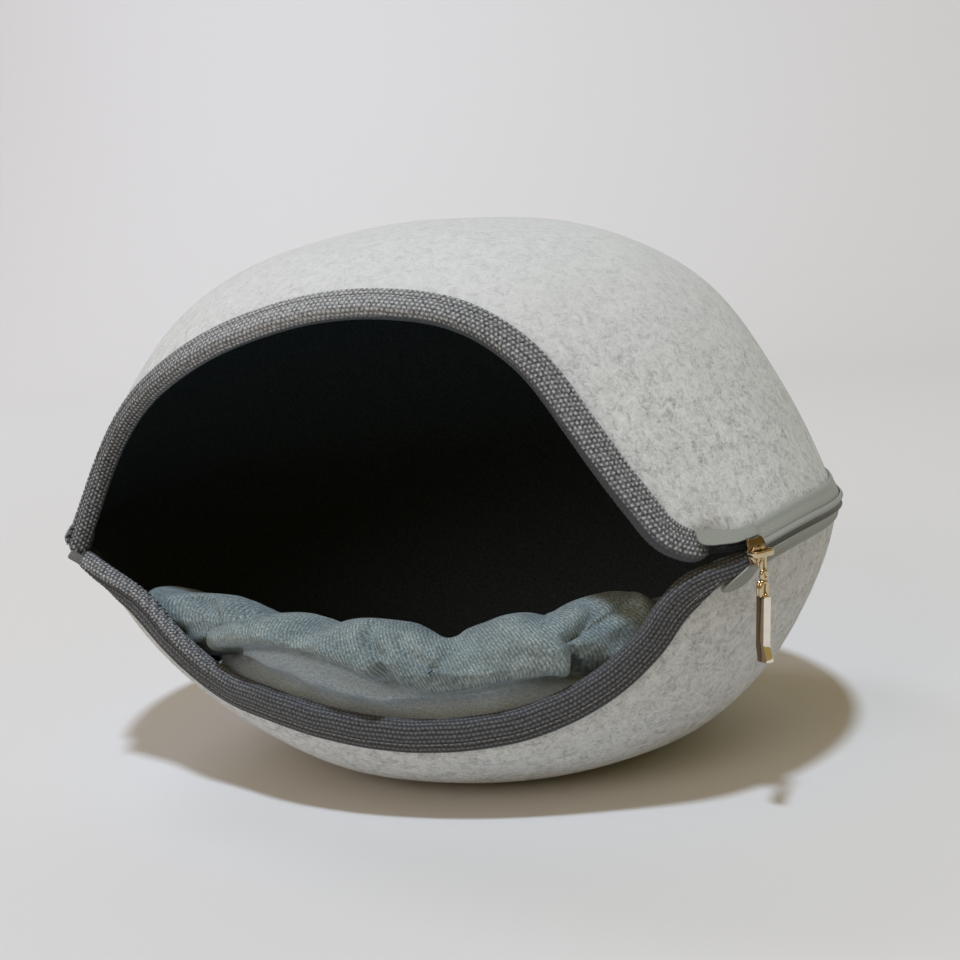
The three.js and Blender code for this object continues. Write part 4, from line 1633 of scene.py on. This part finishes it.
@dataclass
class ZipMetal:
    """Slider, hanging pull and end stop."""

    at: float = 62.6
    seat: float = 4.2
    slider_x: float = -2.4
    plate_half: float = 6.2
    plate_top: float = 7.6
    plate_foot: float = -6.4
    plate_thick: float = 1.6
    horns: Swell = Swell(1.6, 4.2, 1.4)
    wrap: float = 0.05
    body_half: float = 4.4
    body_waist: Swell = Swell(0.18, 0.0, 1.6)
    body_thick: float = 1.7
    arch_half: float = 5.6
    arch_high: float = 3.6
    arch_bar: tuple[float, float] = (1.5, 0.8)
    strut_bar: tuple[float, float] = (0.7, 0.7)
    pull_x: float = -3.4
    pull_over: float = 5.2
    pull_swing: float = -5.0
    rings: tuple[Ring, ...] = (
        Ring("pull_clip", (0, -16.6, 0), 3.6, 1.9, 1.25),
        Ring("pull_clip_back", (0, -16.6, -1.7), 3.6, 1.9, 1.0),
        Ring("pull_bead", (0, -9.6, 0), 1.6, 1.4, 1.25),
        Ring("pull_loop", (0, -4.6, -0.6), 3.6, 1.3, 0.8),
    )
    blade_top: float = -19.5
    blade_foot: float = -51.0
    blade_half: float = 2.4
    blade_thick: float = 2.6
    blade_curl: float = 2.2
    stop_at: float = 297.0
    stop_size: Triple = (8.0, 5.2, 2.6)
    stop_turn: float = -38.0
    stop_shift: Triple = (2.9, -1.4, 5.6)

    def shield(self) -> Piece:
        """Cuts the slider's back plate, with two horns at its top, and wraps it round the coil."""
        c, n = circle(56)
        x = boxed(c, 0.7) * self.plate_half
        high = self.plate_top + self.horns.over(np.abs(x)) - self.horns.high / 2
        y = np.where(n > 0, np.abs(n) ** 0.6 * high, -np.abs(n) ** 0.8 * -self.plate_foot)
        x = x * (1 - 0.25 * ease(-y, 0, 6))
        plate = Bench.plate("slider_shield", np.stack([x, y], axis=1), self.plate_thick, 0.4)
        points = Bench.points(plate)
        points[:, 2] += self.seat - self.wrap * np.clip(np.abs(points[:, 1]) - 2.5, 0, None) ** 2
        Bench.put(plate, points)
        return plate

    def body(self) -> Piece:
        """Cuts the raised body in the middle of the shield."""
        c, n = circle(40)
        x = boxed(c, 0.6) * self.body_half
        y = boxed(n, 0.6) * self.body_half * (1 - self.body_waist.over(x)) - 0.6
        plate = Bench.plate("slider_body", np.stack([x, y], axis=1), self.body_thick, 0.6)
        points = Bench.points(plate)
        points[:, 2] += self.seat + self.plate_thick - 0.2
        Bench.put(plate, points)
        return plate

    def bar(self, name: str, line: list[Triple], wide: float, thick: float) -> Piece:
        """Bends one bar of the slider through points."""
        path = smooth_line(np.array(line, float), 8)
        return Bench.sweep(name, path, (0.05, 1, 0), np.full(len(path), wide), np.full(len(path), thick), 0.5)

    def slider(self, frame: Array, gold: Material, dark: Material) -> Piece:
        """Joins the slider's parts."""
        low = self.seat + self.plate_thick
        top, half = low + self.body_thick + self.arch_high, self.arch_half
        arch = [(-half, 0.4, low), (-half, 0.4, top - 1.6), (-half + 1.6, 0.4, top), (0, 0.4, top + 0.2)]
        arch += [(half - 1.6, 0.4, top), (half, 0.4, top - 1.6), (half, 0.4, low)]
        left = [(-half + 0.4, -0.6, low), (-3.4, -3.2, low + 1.6), (-0.8, -6.0, low + 1.0)]
        right = [(half - 0.4, -0.6, low), (3.2, -3.4, low + 1.4), (0.2, -6.2, low + 0.8)]
        parts = [self.shield(), self.body(), self.bar("slider_arch", arch, *self.arch_bar)]
        for side, line in (("left", left), ("right", right)):
            parts.append(self.bar(f"slider_{side}_strut", line, *self.strut_bar))
        # The shield takes the same darker gold that paints dark reflection.
        for part, finish in zip(parts, (dark, gold, gold, gold, gold)):
            part.data.materials.append(finish)
        piece = Bench.join("zip_slider_metal", parts)
        points = Bench.points(piece)
        points[:, 0] += self.slider_x
        Bench.put(piece, points)
        Bench.carry(piece, frame)
        Bench.smooth(piece, 40)
        return piece

    def ring(self, row: Ring) -> Piece:
        """Bends a wire into a long ring, in its own millimetres."""
        Bench.clear()
        thick = 0.3
        bpy.ops.mesh.primitive_torus_add(
            major_segments=36, minor_segments=12, major_radius=1.0, minor_radius=thick
        )
        part = bpy.context.object
        part.name = row.name
        points = Bench.points(part)
        round_it = np.arctan2(points[:, 1], points[:, 0])
        over = (np.hypot(points[:, 0], points[:, 1]) - 1) / thick * row.wire
        c, n = np.cos(round_it), np.sin(round_it)
        x, y = boxed(c, 0.7) * row.wide + c * over, boxed(n, 0.7) * row.tall + n * over
        Bench.put(part, np.stack([x, y, points[:, 2] / thick * row.wire], axis=1) + np.array(row.centre))
        return part

    def blade(self, pale: Material, dark: Material) -> Piece:
        """Cuts the pull's bar from the side, with a foot that curls out, and gives its flanks a darker gold
        as painted dark reflection.

        Args:
            pale: Finish of its face.
            dark: Finish of its flanks, a darker gold that paints in their dark reflection.

        Returns:
            The bar, in its own millimetres.
        """
        t = np.linspace(0, 1, 24)
        y = self.blade_top + (self.blade_foot - self.blade_top) * t
        curl = self.blade_curl * ease(t, 0.72, 1.0)
        front = np.stack([self.blade_thick + curl, y], axis=1)
        back = np.stack([-self.blade_thick + 0.5 * curl, y], axis=1)[::-1]
        wide = 2 * self.blade_half
        bar = Bench.plate("pull_blade", np.vstack([front, back]), wide, 0.45)
        z, y, x = Bench.points(bar).T
        Bench.put(bar, np.stack([x - wide / 2, y, z], axis=1))
        Bench.outside(bar)
        for finish in (pale, dark):
            bar.data.materials.append(finish)
        # The flanks take the darker gold, painted dark reflection.
        for face in bar.data.polygons:
            face.material_index = int(abs(face.normal.x) > 0.8)
        return bar

    def pull(self, frame: Array, pale: Material, gold: Material, dark: Material) -> Piece:
        """Joins the pull's parts and lets it hang."""
        over = self.seat + self.plate_thick + self.pull_over
        parts = [self.blade(pale, dark), *map(self.ring, self.rings)]
        for part in parts[1:]:
            part.data.materials.append(gold)
        piece = Bench.join("zip_pull_metal", parts)
        points = Bench.points(piece)
        x, y = turned(points[:, 0], points[:, 1], self.pull_swing)
        Bench.put(piece, np.stack([x + self.pull_x, y, points[:, 2] + over], axis=1))
        Bench.carry(piece, frame)
        Bench.smooth(piece, 35)
        return piece

    def stop(self, frame: Array) -> Piece:
        """Moulds the small end stop."""
        long, tall, thick = self.stop_size
        c, n = circle(32)
        outline = turned(boxed(c, 0.3) * long / 2, boxed(n, 0.3) * tall / 2, self.stop_turn)
        piece = Bench.plate("zip_stop_block", np.stack(outline, axis=1), thick, 0.5)
        Bench.put(piece, Bench.points(piece) + np.array(self.stop_shift))
        Bench.carry(piece, np.vstack([frame[0], -frame[3], frame[2], frame[1]]))
        Bench.smooth(piece, 40)
        return piece

    def build(self) -> None:
        """Builds and dresses the metal and the stop."""
        rim = Zip()
        frame = rim.frame(self.at)
        pale = plated("pale_gold_metal", (0.92, 0.86, 0.76), 0.08)
        gold = plated("warm_gold", (0.66, 0.53, 0.35), 0.1)
        # dark paints the dark reflection on the pull's flanks, and the slider's shield shares it.
        dark = plated("gold_painted_dark_reflection", (0.26, 0.19, 0.12), 0.15)
        Bench.settle_in(self.slider(frame, gold, dark), "pale_gold_metal", gold, "zip_slider")
        Bench.settle_in(self.pull(frame, pale, gold, dark), "pale_gold_metal", pale, "zip_pull")
        block = self.stop(rim.frame(self.stop_at))
        Bench.settle_in(block, "stop_plastic", STOP.material(), "zip_end_stop")


@dataclass(frozen=True)
class Lobe:
    """A soft hump round an azimuth, with its spread in degrees."""

    azimuth: float
    spread: float

    def over(self, azimuth: Array) -> Array:
        """Its share at azimuths in radians."""
        return hump(azimuth, self.azimuth, self.spread)


@dataclass(frozen=True)
class PadRow:
    """A ring of the cushion: its reach towards the bowl's wall and its heights in front and behind."""

    reach: float
    front: float
    back: float
    pucker: float


@dataclass(frozen=True)
class Pucker:
    """A gathered dip in the cushion's roll."""

    azimuth: float
    width: float
    depth: float


@dataclass(frozen=True)
class Crease:
    """A fold line pressed into the roll, through azimuths and heights."""

    line: tuple[tuple[float, float], ...]
    width: float
    depth: float
    step: float = 0.0


@dataclass
class Cushion:
    """The filled cushion that lies in the bowl."""

    clear: float = 0.8
    side_clear: float = 6.0
    left_clear: float = 2.5
    left_gap: float = 13.0
    fall_right: float = 58.0
    fall_left: float = 66.0
    fall_over: float = 26.0
    lump: Lobe = Lobe(-66, 13)
    left_side: Lobe = Lobe(-60, 16)
    gap_side: Lobe = Lobe(-64, 9)
    gap_reach: tuple[float, float] = (0.93, 0.97)
    gap_levels: tuple[float, float] = (72.0, 90.0)
    lean_from: tuple[float, float] = (82.0, 92.0)
    lean_out: float = 0.055
    lean_drop: float = 3.5
    middle: float = 21.0
    seam_back: float = 19.0
    voxel: float = 3.5
    pressure: float = 4.0
    fill_frames: int = 20
    held_below: float = 14.0
    swell_cap: float = 4.0
    columns: int = 170
    inner_radius: float = 90.0
    seam_roll: Swell = Swell(4.4, 8.5, 6.0)
    seam_draw: Swell = Swell(7.5, -0.4, 2.2)
    band_tuck: Swell = Swell(3.6, -4.0, 4.0)
    band_belly: float = 2.4
    gather: Swell = Swell(0.9, 4.0, 5.0)
    rumple: float = 0.7
    mm_a_degree: float = 2.6
    rows: tuple[PadRow, ...] = rows_of(
        PadRow,
        (0.3, 32, 22, 0), (0.55, 56, 23, 0.2), (0.7, 87, 25, 0.7), (0.8, 104, 25.5, 1),
        (0.9, 105, 24.5, 1), (0.975, 93, 22.5, 0.6), (0.96, 78, 20.5, 0.2), (1, 64, 19, 0),
        (1, 47, 17.5, 0), (1, 30, 16, 0),
    )
    puckers: tuple[Pucker, ...] = rows_of(
        Pucker,
        (57, 4, 4), (46, 9, -4.5), (35, 3.5, 3.5), (12, 4, 9), (10, 14, 4), (-14, 6, 4), (-38, 9, 7),
        (-66, 8, 3.5), (19, 5, 3.5), (100, 7, 3), (150, 7, 3), (205, 7, 3), (255, 7, 3),
    )
    seam: tuple[LipRow, ...] = rows_of(
        LipRow,
        (-90, 72), (-60, 70), (-49, 75), (-36, 88), (-24, 92), (-15, 88), (-4, 77), (6, 68), (20, 73),
        (33, 73), (60, 72), (90, 70),
    )
    creases: tuple[Crease, ...] = rows_of(
        Crease,
        (((-33, 105), (-40, 101), (-46, 93), (-47.5, 80)), 2.6, 6.0, -4.0),
        (((-54, 108), (-49, 102), (-45, 97)), 2.4, 3.4, -1.5),
        (((-6, 103), (-3, 92), (-2.6, 78)), 2.8, 6.2, 1.6),
        (((0.8, 100), (3.4, 93), (6.5, 86)), 2.6, 4.6, -1.4),
        (((12, 101), (9.6, 91), (7.4, 84)), 2.6, 5.0, 1.4), (((15, 99), (16.6, 84)), 2.6, 2.4, -1.0),
        (((37, 109), (33, 99), (31.4, 95), (33.6, 72)), 2.4, 5.6, 4.0),
        (((45, 107), (38.5, 99), (33, 95.5)), 2.6, 3.0, -1.5), (((-30, 98), (-20, 88)), 4.0, 1.4, 0.6),
        (((19, 101), (26, 86)), 4.0, 1.6, -0.8),
    )

    def low(self, azimuth: Array) -> Array:
        """How far an azimuth is towards the cushion's low back, from 0 to 1."""
        turn = in_degrees(azimuth)
        start = np.where(turn > 0, self.fall_right, self.fall_left)
        return ease(np.abs(turn) - start, 0, self.fall_over)

    def dip(self, azimuth: Array, share: float = 1.0) -> Array:
        """Depth of the puckers at azimuths."""
        return share * sum(p.depth * hump(azimuth, p.azimuth, p.width) for p in self.puckers)

    def wall_inside(self, azimuth: Array, height: Array, clearance: Array) -> Array:
        """Points inside the bowl's lining at given heights."""
        spot = BOWL.chart(azimuth, BOWL.depth_at(azimuth, height))
        inset = FORM.wall + clearance
        fall = BOWL.normal(spot)[:, 2] * inset
        lower = BOWL.chart(azimuth, BOWL.depth_at(azimuth, height + fall))
        return BOWL.point(lower) - BOWL.normal(lower) * inset[:, None]

    def blank(self) -> Piece:
        """Makes the cushion's closed shape before it is filled."""
        table = np.array([[r.reach, r.front, r.back, r.pucker] for r in self.rows])
        fine = smooth_line(table, 5)
        bed = np.linspace(0.62, 0.8, 9)
        total = len(fine) + len(bed) + 1

        def place(around: Array, down: Array) -> Array:
            """Lays the rings of the cushion's skin, from its middle round to its bed."""
            azimuth = around * 2 * math.pi
            row = np.rint(down * total).astype(int)
            points = np.zeros((len(around), 3))
            for k in range(total + 1):
                ring = row == k
                turn = azimuth[ring]
                if k == 0:
                    points[ring] = [0, 0, self.middle]
                elif k == total:
                    points[ring] = [0, 0, FORM.wall + self.clear]
                elif k <= len(fine):
                    reach, front, back, pucker = fine[k - 1]
                    low = self.low(turn)
                    lean = self.lump.over(turn) * ease(front, *self.lean_from)
                    reach = np.minimum(1, reach + self.lean_out * lean)
                    slope = self.lean_drop * (2 * ease(reach, 0.82, 1.0) - 1)
                    level = front + slope * lean + (back - front) * low - pucker * self.dip(turn)
                    room = self.side_clear + (self.left_clear - self.side_clear) * self.left_side.over(turn)
                    under = ease(reach, *self.gap_reach) * (1 - ease(level, *self.gap_levels))
                    room += self.left_gap * self.gap_side.over(turn) * under
                    wall = self.wall_inside(turn, level, room)
                    points[ring] = np.stack([wall[:, 0] * reach, wall[:, 1] * reach, level], axis=-1)
                else:
                    chart = BOWL.chart(turn, np.full_like(turn, bed[k - 1 - len(fine)]))
                    points[ring] = BOWL.point(chart) - BOWL.normal(chart) * (FORM.wall + self.clear)
            return points

        piece = Bench.grid("cushion_pad", self.columns, total, place)
        Bench.merge(piece, 1e-5)
        Bench.outside(piece)
        Bench.apply(piece, "REMESH", mode="VOXEL", voxel_size=self.voxel * MM)
        return piece

    def fill(self, piece: Piece) -> None:
        """Swells the cushion with a short cloth simulation, held at its bed."""
        start = Bench.points(piece)
        seam = self.seam_height(azimuth_of(start)) * MM
        held = piece.vertex_groups.new(name="bed")
        for index in np.flatnonzero(start[:, 2] < seam - self.held_below * MM):
            held.add([int(index)], 1.0, "REPLACE")
        Bench.pick(piece)
        cloth = piece.modifiers.new("filling", "CLOTH")
        cloth.settings.quality = 5
        cloth.settings.use_pressure = True
        cloth.settings.uniform_pressure_force = self.pressure
        cloth.settings.effector_weights.gravity = 0.0
        cloth.settings.vertex_group_mass = held.name
        cloth.settings.tension_stiffness = 12
        cloth.settings.bending_stiffness = 0.4
        cloth.point_cache.frame_start = 1
        cloth.point_cache.frame_end = self.fill_frames
        scene = bpy.context.scene
        for frame in range(1, self.fill_frames + 1):
            scene.frame_set(frame)
        bpy.ops.object.modifier_apply(modifier=cloth.name)
        scene.frame_set(1)
        piece.vertex_groups.clear()
        moved = Bench.points(piece) - start
        far = np.linalg.norm(moved, axis=1, keepdims=True)
        cap = self.swell_cap * MM
        Bench.put(piece, start + moved * np.minimum(1, cap / np.maximum(far, 1e-9)))

    def seam_height(self, azimuth: Array) -> Array:
        """Height of the seam between the twill and the canvas."""
        line = smooth_line(np.array([[r.azimuth, r.height] for r in self.seam], float), 12)
        front = np.interp(in_degrees(azimuth), line[:, 0], line[:, 1])
        return front + (self.seam_back - front) * self.low(azimuth)

    def fold_in(self, crease: Crease, turn: Array, height: Array) -> Array:
        """How far a crease pushes points in, with one side lapped over the other.

        Args:
            crease: The crease.
            turn: Azimuths of the points in degrees.
            height: Heights of the points.

        Returns:
            The push at each point.
        """
        spots = np.stack([turn * self.mm_a_degree, height], axis=1)
        near, side = np.full(len(spots), 1e9), np.zeros(len(spots))
        ends = np.array(crease.line, float) * [self.mm_a_degree, 1.0]
        for a, b in zip(ends[:-1], ends[1:]):
            way, away = b - a, spots - a
            share = np.clip(away @ way / (way @ way), 0, 1)
            far = np.linalg.norm(away - share[:, None] * way, axis=1)
            turned = np.sign(way[0] * away[:, 1] - way[1] * away[:, 0])
            side = np.where(far < near, turned, side)
            near = np.minimum(near, far)
        reach = near / crease.width
        lap = np.tanh(1.4 * side * reach) * Swell(crease.step, 0, 4).over(reach)
        return Swell(crease.depth, 0, 1).over(reach) + lap

    def sew(self, piece: Piece) -> None:
        """Draws in the seam, rolls the twill over it and presses in the folds."""
        points = Bench.points(piece) / MM
        azimuth = azimuth_of(points)
        turn = np.degrees(azimuth)
        seam = self.seam_height(azimuth)
        rim = np.hypot(points[:, 0], points[:, 1]) > self.inner_radius
        near = rim & (np.abs(points[:, 2] - seam) < 0.9)
        points[near, 2] = seam[near]
        ways = Bench.normals(piece)
        out = np.stack([np.sin(azimuth), -np.cos(azimuth), 0 * azimuth], axis=1)
        facing = ease((ways * out).sum(axis=1), -0.25, 0.35) * rim
        off = points[:, 2] - seam
        roll = self.seam_roll.over(off) - self.seam_draw.over(off)
        band = np.where(off < 0, self.band_belly * ease(-off, 7, 17) - self.band_tuck.over(off), 0)
        gather = np.sin(0.62 * turn + 2 * np.sin(0.31 * turn)) * self.gather.over(off)
        points += out * ((roll + band + gather) * facing)[:, None]
        push = sum(self.fold_in(crease, turn, points[:, 2]) for crease in self.creases)
        u, v = turn * self.mm_a_degree, points[:, 2]
        rumple = np.sin(0.21 * u + 1.1 * np.sin(0.13 * v)) * np.sin(0.17 * v + 0.6 * np.sin(0.11 * u) + 1)
        points -= ways * ((push * ease(off, -3, 5) - self.rumple * rumple) * facing)[:, None]
        Bench.put(piece, points * MM)

    def lay(self, piece: Piece) -> None:
        """Writes lengths round and up the cushion for its weave, and parts its two cloths."""
        mesh = piece.data
        points = Bench.points(piece)
        radius = np.hypot(points[:, 0], points[:, 1])
        run = np.stack([azimuth_of(points) * 0.15, points[:, 2] - 0.7 * radius, 0 * radius], axis=1)
        lay = mesh.attributes.new("cloth_lay", "FLOAT_VECTOR", "POINT")
        lay.data.foreach_set("vector", run.astype(np.float32).ravel())
        centres, ways = (Bench.read(mesh.polygons, key) for key in ("center", "normal"))
        turn = azimuth_of(centres)
        under = centres[:, 2] < self.seam_height(turn) * MM
        under &= np.hypot(centres[:, 0], centres[:, 1]) > self.inner_radius * MM
        under &= ways[:, 0] * np.sin(turn) - ways[:, 1] * np.cos(turn) > -0.5
        under |= centres[:, 2] < 0.02
        mesh.polygons.foreach_set("material_index", under.astype(np.int32))
        mesh.update()

    def build(self) -> None:
        """Builds, fills and dresses the cushion."""
        piece = self.blank()
        self.fill(piece)
        Bench.apply(piece, "SUBSURF", levels=1, render_levels=1)
        self.sew(piece)
        piece.data.materials.append(TwillFinish().material())
        piece.data.materials.append(CanvasFinish().material())
        self.lay(piece)
        Bench.smooth(piece, 180)
        Bench.settle_in(piece, "blue_grey_twill", piece.data.materials[0], "cushion")


@dataclass(frozen=True)
class Lamp:
    """A round soft light: its place, what it faces, its size, its strength and its tint."""

    name: str
    place: Triple
    aim: Triple
    size: float
    watts: float
    tint: Triple

    def hang(self) -> None:
        """Hangs the light."""
        data = bpy.data.lights.new(self.name, "AREA")
        data.shape = "DISK"
        data.size = self.size
        data.energy = self.watts
        data.color = self.tint
        lamp = bpy.data.objects.new(self.name, data)
        lamp.location = self.place
        lamp.rotation_euler = (Vector(self.aim) - Vector(self.place)).to_track_quat("-Z", "Y").to_euler()
        bpy.context.scene.collection.objects.link(lamp)


@dataclass
class Studio:
    """Pale sweep, soft lights and the camera."""

    azimuth: float = 20.0
    elevation: float = 9.0
    roll: float = -4.64
    distance: float = 818.6
    target: Triple = (-3.6, -1.3, 151.8)
    lens: float = 52.5
    lamps: tuple[Lamp, ...] = (
        Lamp("top_softbox", (0.25, -2.3, 6.5), (0, 0, 0.15), 0.62, 335.0, (0.73, 0.84, 1.0)),
        Lamp("backdrop_wash", (-2.4, 1.2, 3.2), (-1.8, 3.6, 0.8), 1.5, 53.0, (0.79, 0.82, 1.0)),
        Lamp("front_fill", (-0.9, -2.6, 1.6), (0, 0, 0.15), 1.4, 17.0, (1.0, 0.82, 0.78)),
    )
    room: float = 0.31
    room_tint: Triple = (1.0, 0.74, 0.27)
    wall_tint: Triple = (0.66, 0.66, 0.665)
    sweep_wide: float = 10000.0
    sweep_long: float = 9000.0
    sweep_front: float = 3500.0
    sweep_flat: float = 2200.0
    sweep_bow: float = 1500.0

    def camera(self) -> None:
        """Sets the camera at the photograph's angle."""
        az, el, roll = (math.radians(a) for a in (self.azimuth, self.elevation, self.roll))
        back = Vector((math.sin(az) * math.cos(el), -math.cos(az) * math.cos(el), math.sin(el)))
        right = Vector((math.cos(az), math.sin(az), 0))
        up = back.cross(right)
        turned = right * math.cos(roll) + up * math.sin(roll)
        upright = up * math.cos(roll) - right * math.sin(roll)
        data = bpy.data.cameras.new("photo_camera")
        data.lens = self.lens
        data.sensor_fit = "HORIZONTAL"
        data.sensor_width = 36.0
        data.clip_end = 50
        camera = bpy.data.objects.new("photo_camera", data)
        matrix = Matrix((turned, upright, back)).transposed().to_4x4()
        matrix.translation = (Vector(self.target) + back * self.distance) * MM
        camera.matrix_world = matrix
        bpy.context.scene.collection.objects.link(camera)
        bpy.context.scene.camera = camera

    def floor(self) -> None:
        """Lays a pale sweep that rises far behind the object."""
        flat, bow = self.sweep_flat, self.sweep_bow

        def place(across: Array, back: Array) -> Array:
            """Lays the sweep flat, then up a bow and on as a wall."""
            run = back * self.sweep_long - self.sweep_front
            bend = np.clip((run - flat) / bow, 0, None)
            angle = np.minimum(bend, math.pi / 2)
            y = np.where(run < flat, run, flat + bow * np.sin(angle))
            z = bow * (1 - np.cos(angle)) + np.clip(bend - math.pi / 2, 0, None) * bow
            return np.stack([(across - 0.5) * self.sweep_wide, y, z], axis=-1)

        sweep = Bench.grid("pale_sweep", 4, 60, place)
        Bench.face_out(sweep, lambda centres: np.array([0.0, -3.0, 3.0]) - centres)
        Bench.smooth(sweep, 60)
        sweep.data.materials.append(StageFinish().material())

    def build(self) -> None:
        """Builds the whole studio."""
        self.floor()
        for lamp in self.lamps:
            lamp.hang()
        world = bpy.data.worlds.new("soft_room")
        world.use_nodes = True
        tree = world.node_tree
        glow, wall = tree.nodes["Background"], tree.nodes.new("ShaderNodeBackground")
        for node, tint, strength in ((glow, self.room_tint, self.room), (wall, self.wall_tint, 1.0)):
            node.inputs["Color"].default_value = (*tint, 1)
            node.inputs["Strength"].default_value = strength
        seen, either = tree.nodes.new("ShaderNodeLightPath"), tree.nodes.new("ShaderNodeMixShader")
        tree.links.new(seen.outputs["Is Camera Ray"], either.inputs["Fac"])
        tree.links.new(glow.outputs["Background"], either.inputs[1])
        tree.links.new(wall.outputs["Background"], either.inputs[2])
        tree.links.new(either.outputs["Shader"], tree.nodes["World Output"].inputs["Surface"])
        bpy.context.scene.world = world
        bpy.context.scene.view_settings.view_transform = "Standard"


def main() -> None:
    logging.basicConfig(level=logging.INFO, format="%(name)s %(message)s")
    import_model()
    Studio().camera()
    for assembly in (FeltCave(), MouthBinding(), Zip(), ZipMetal(), Cushion(), Studio()):
        assembly.build()
    LOG.info("finished")


if __name__ == "__main__":
    main()
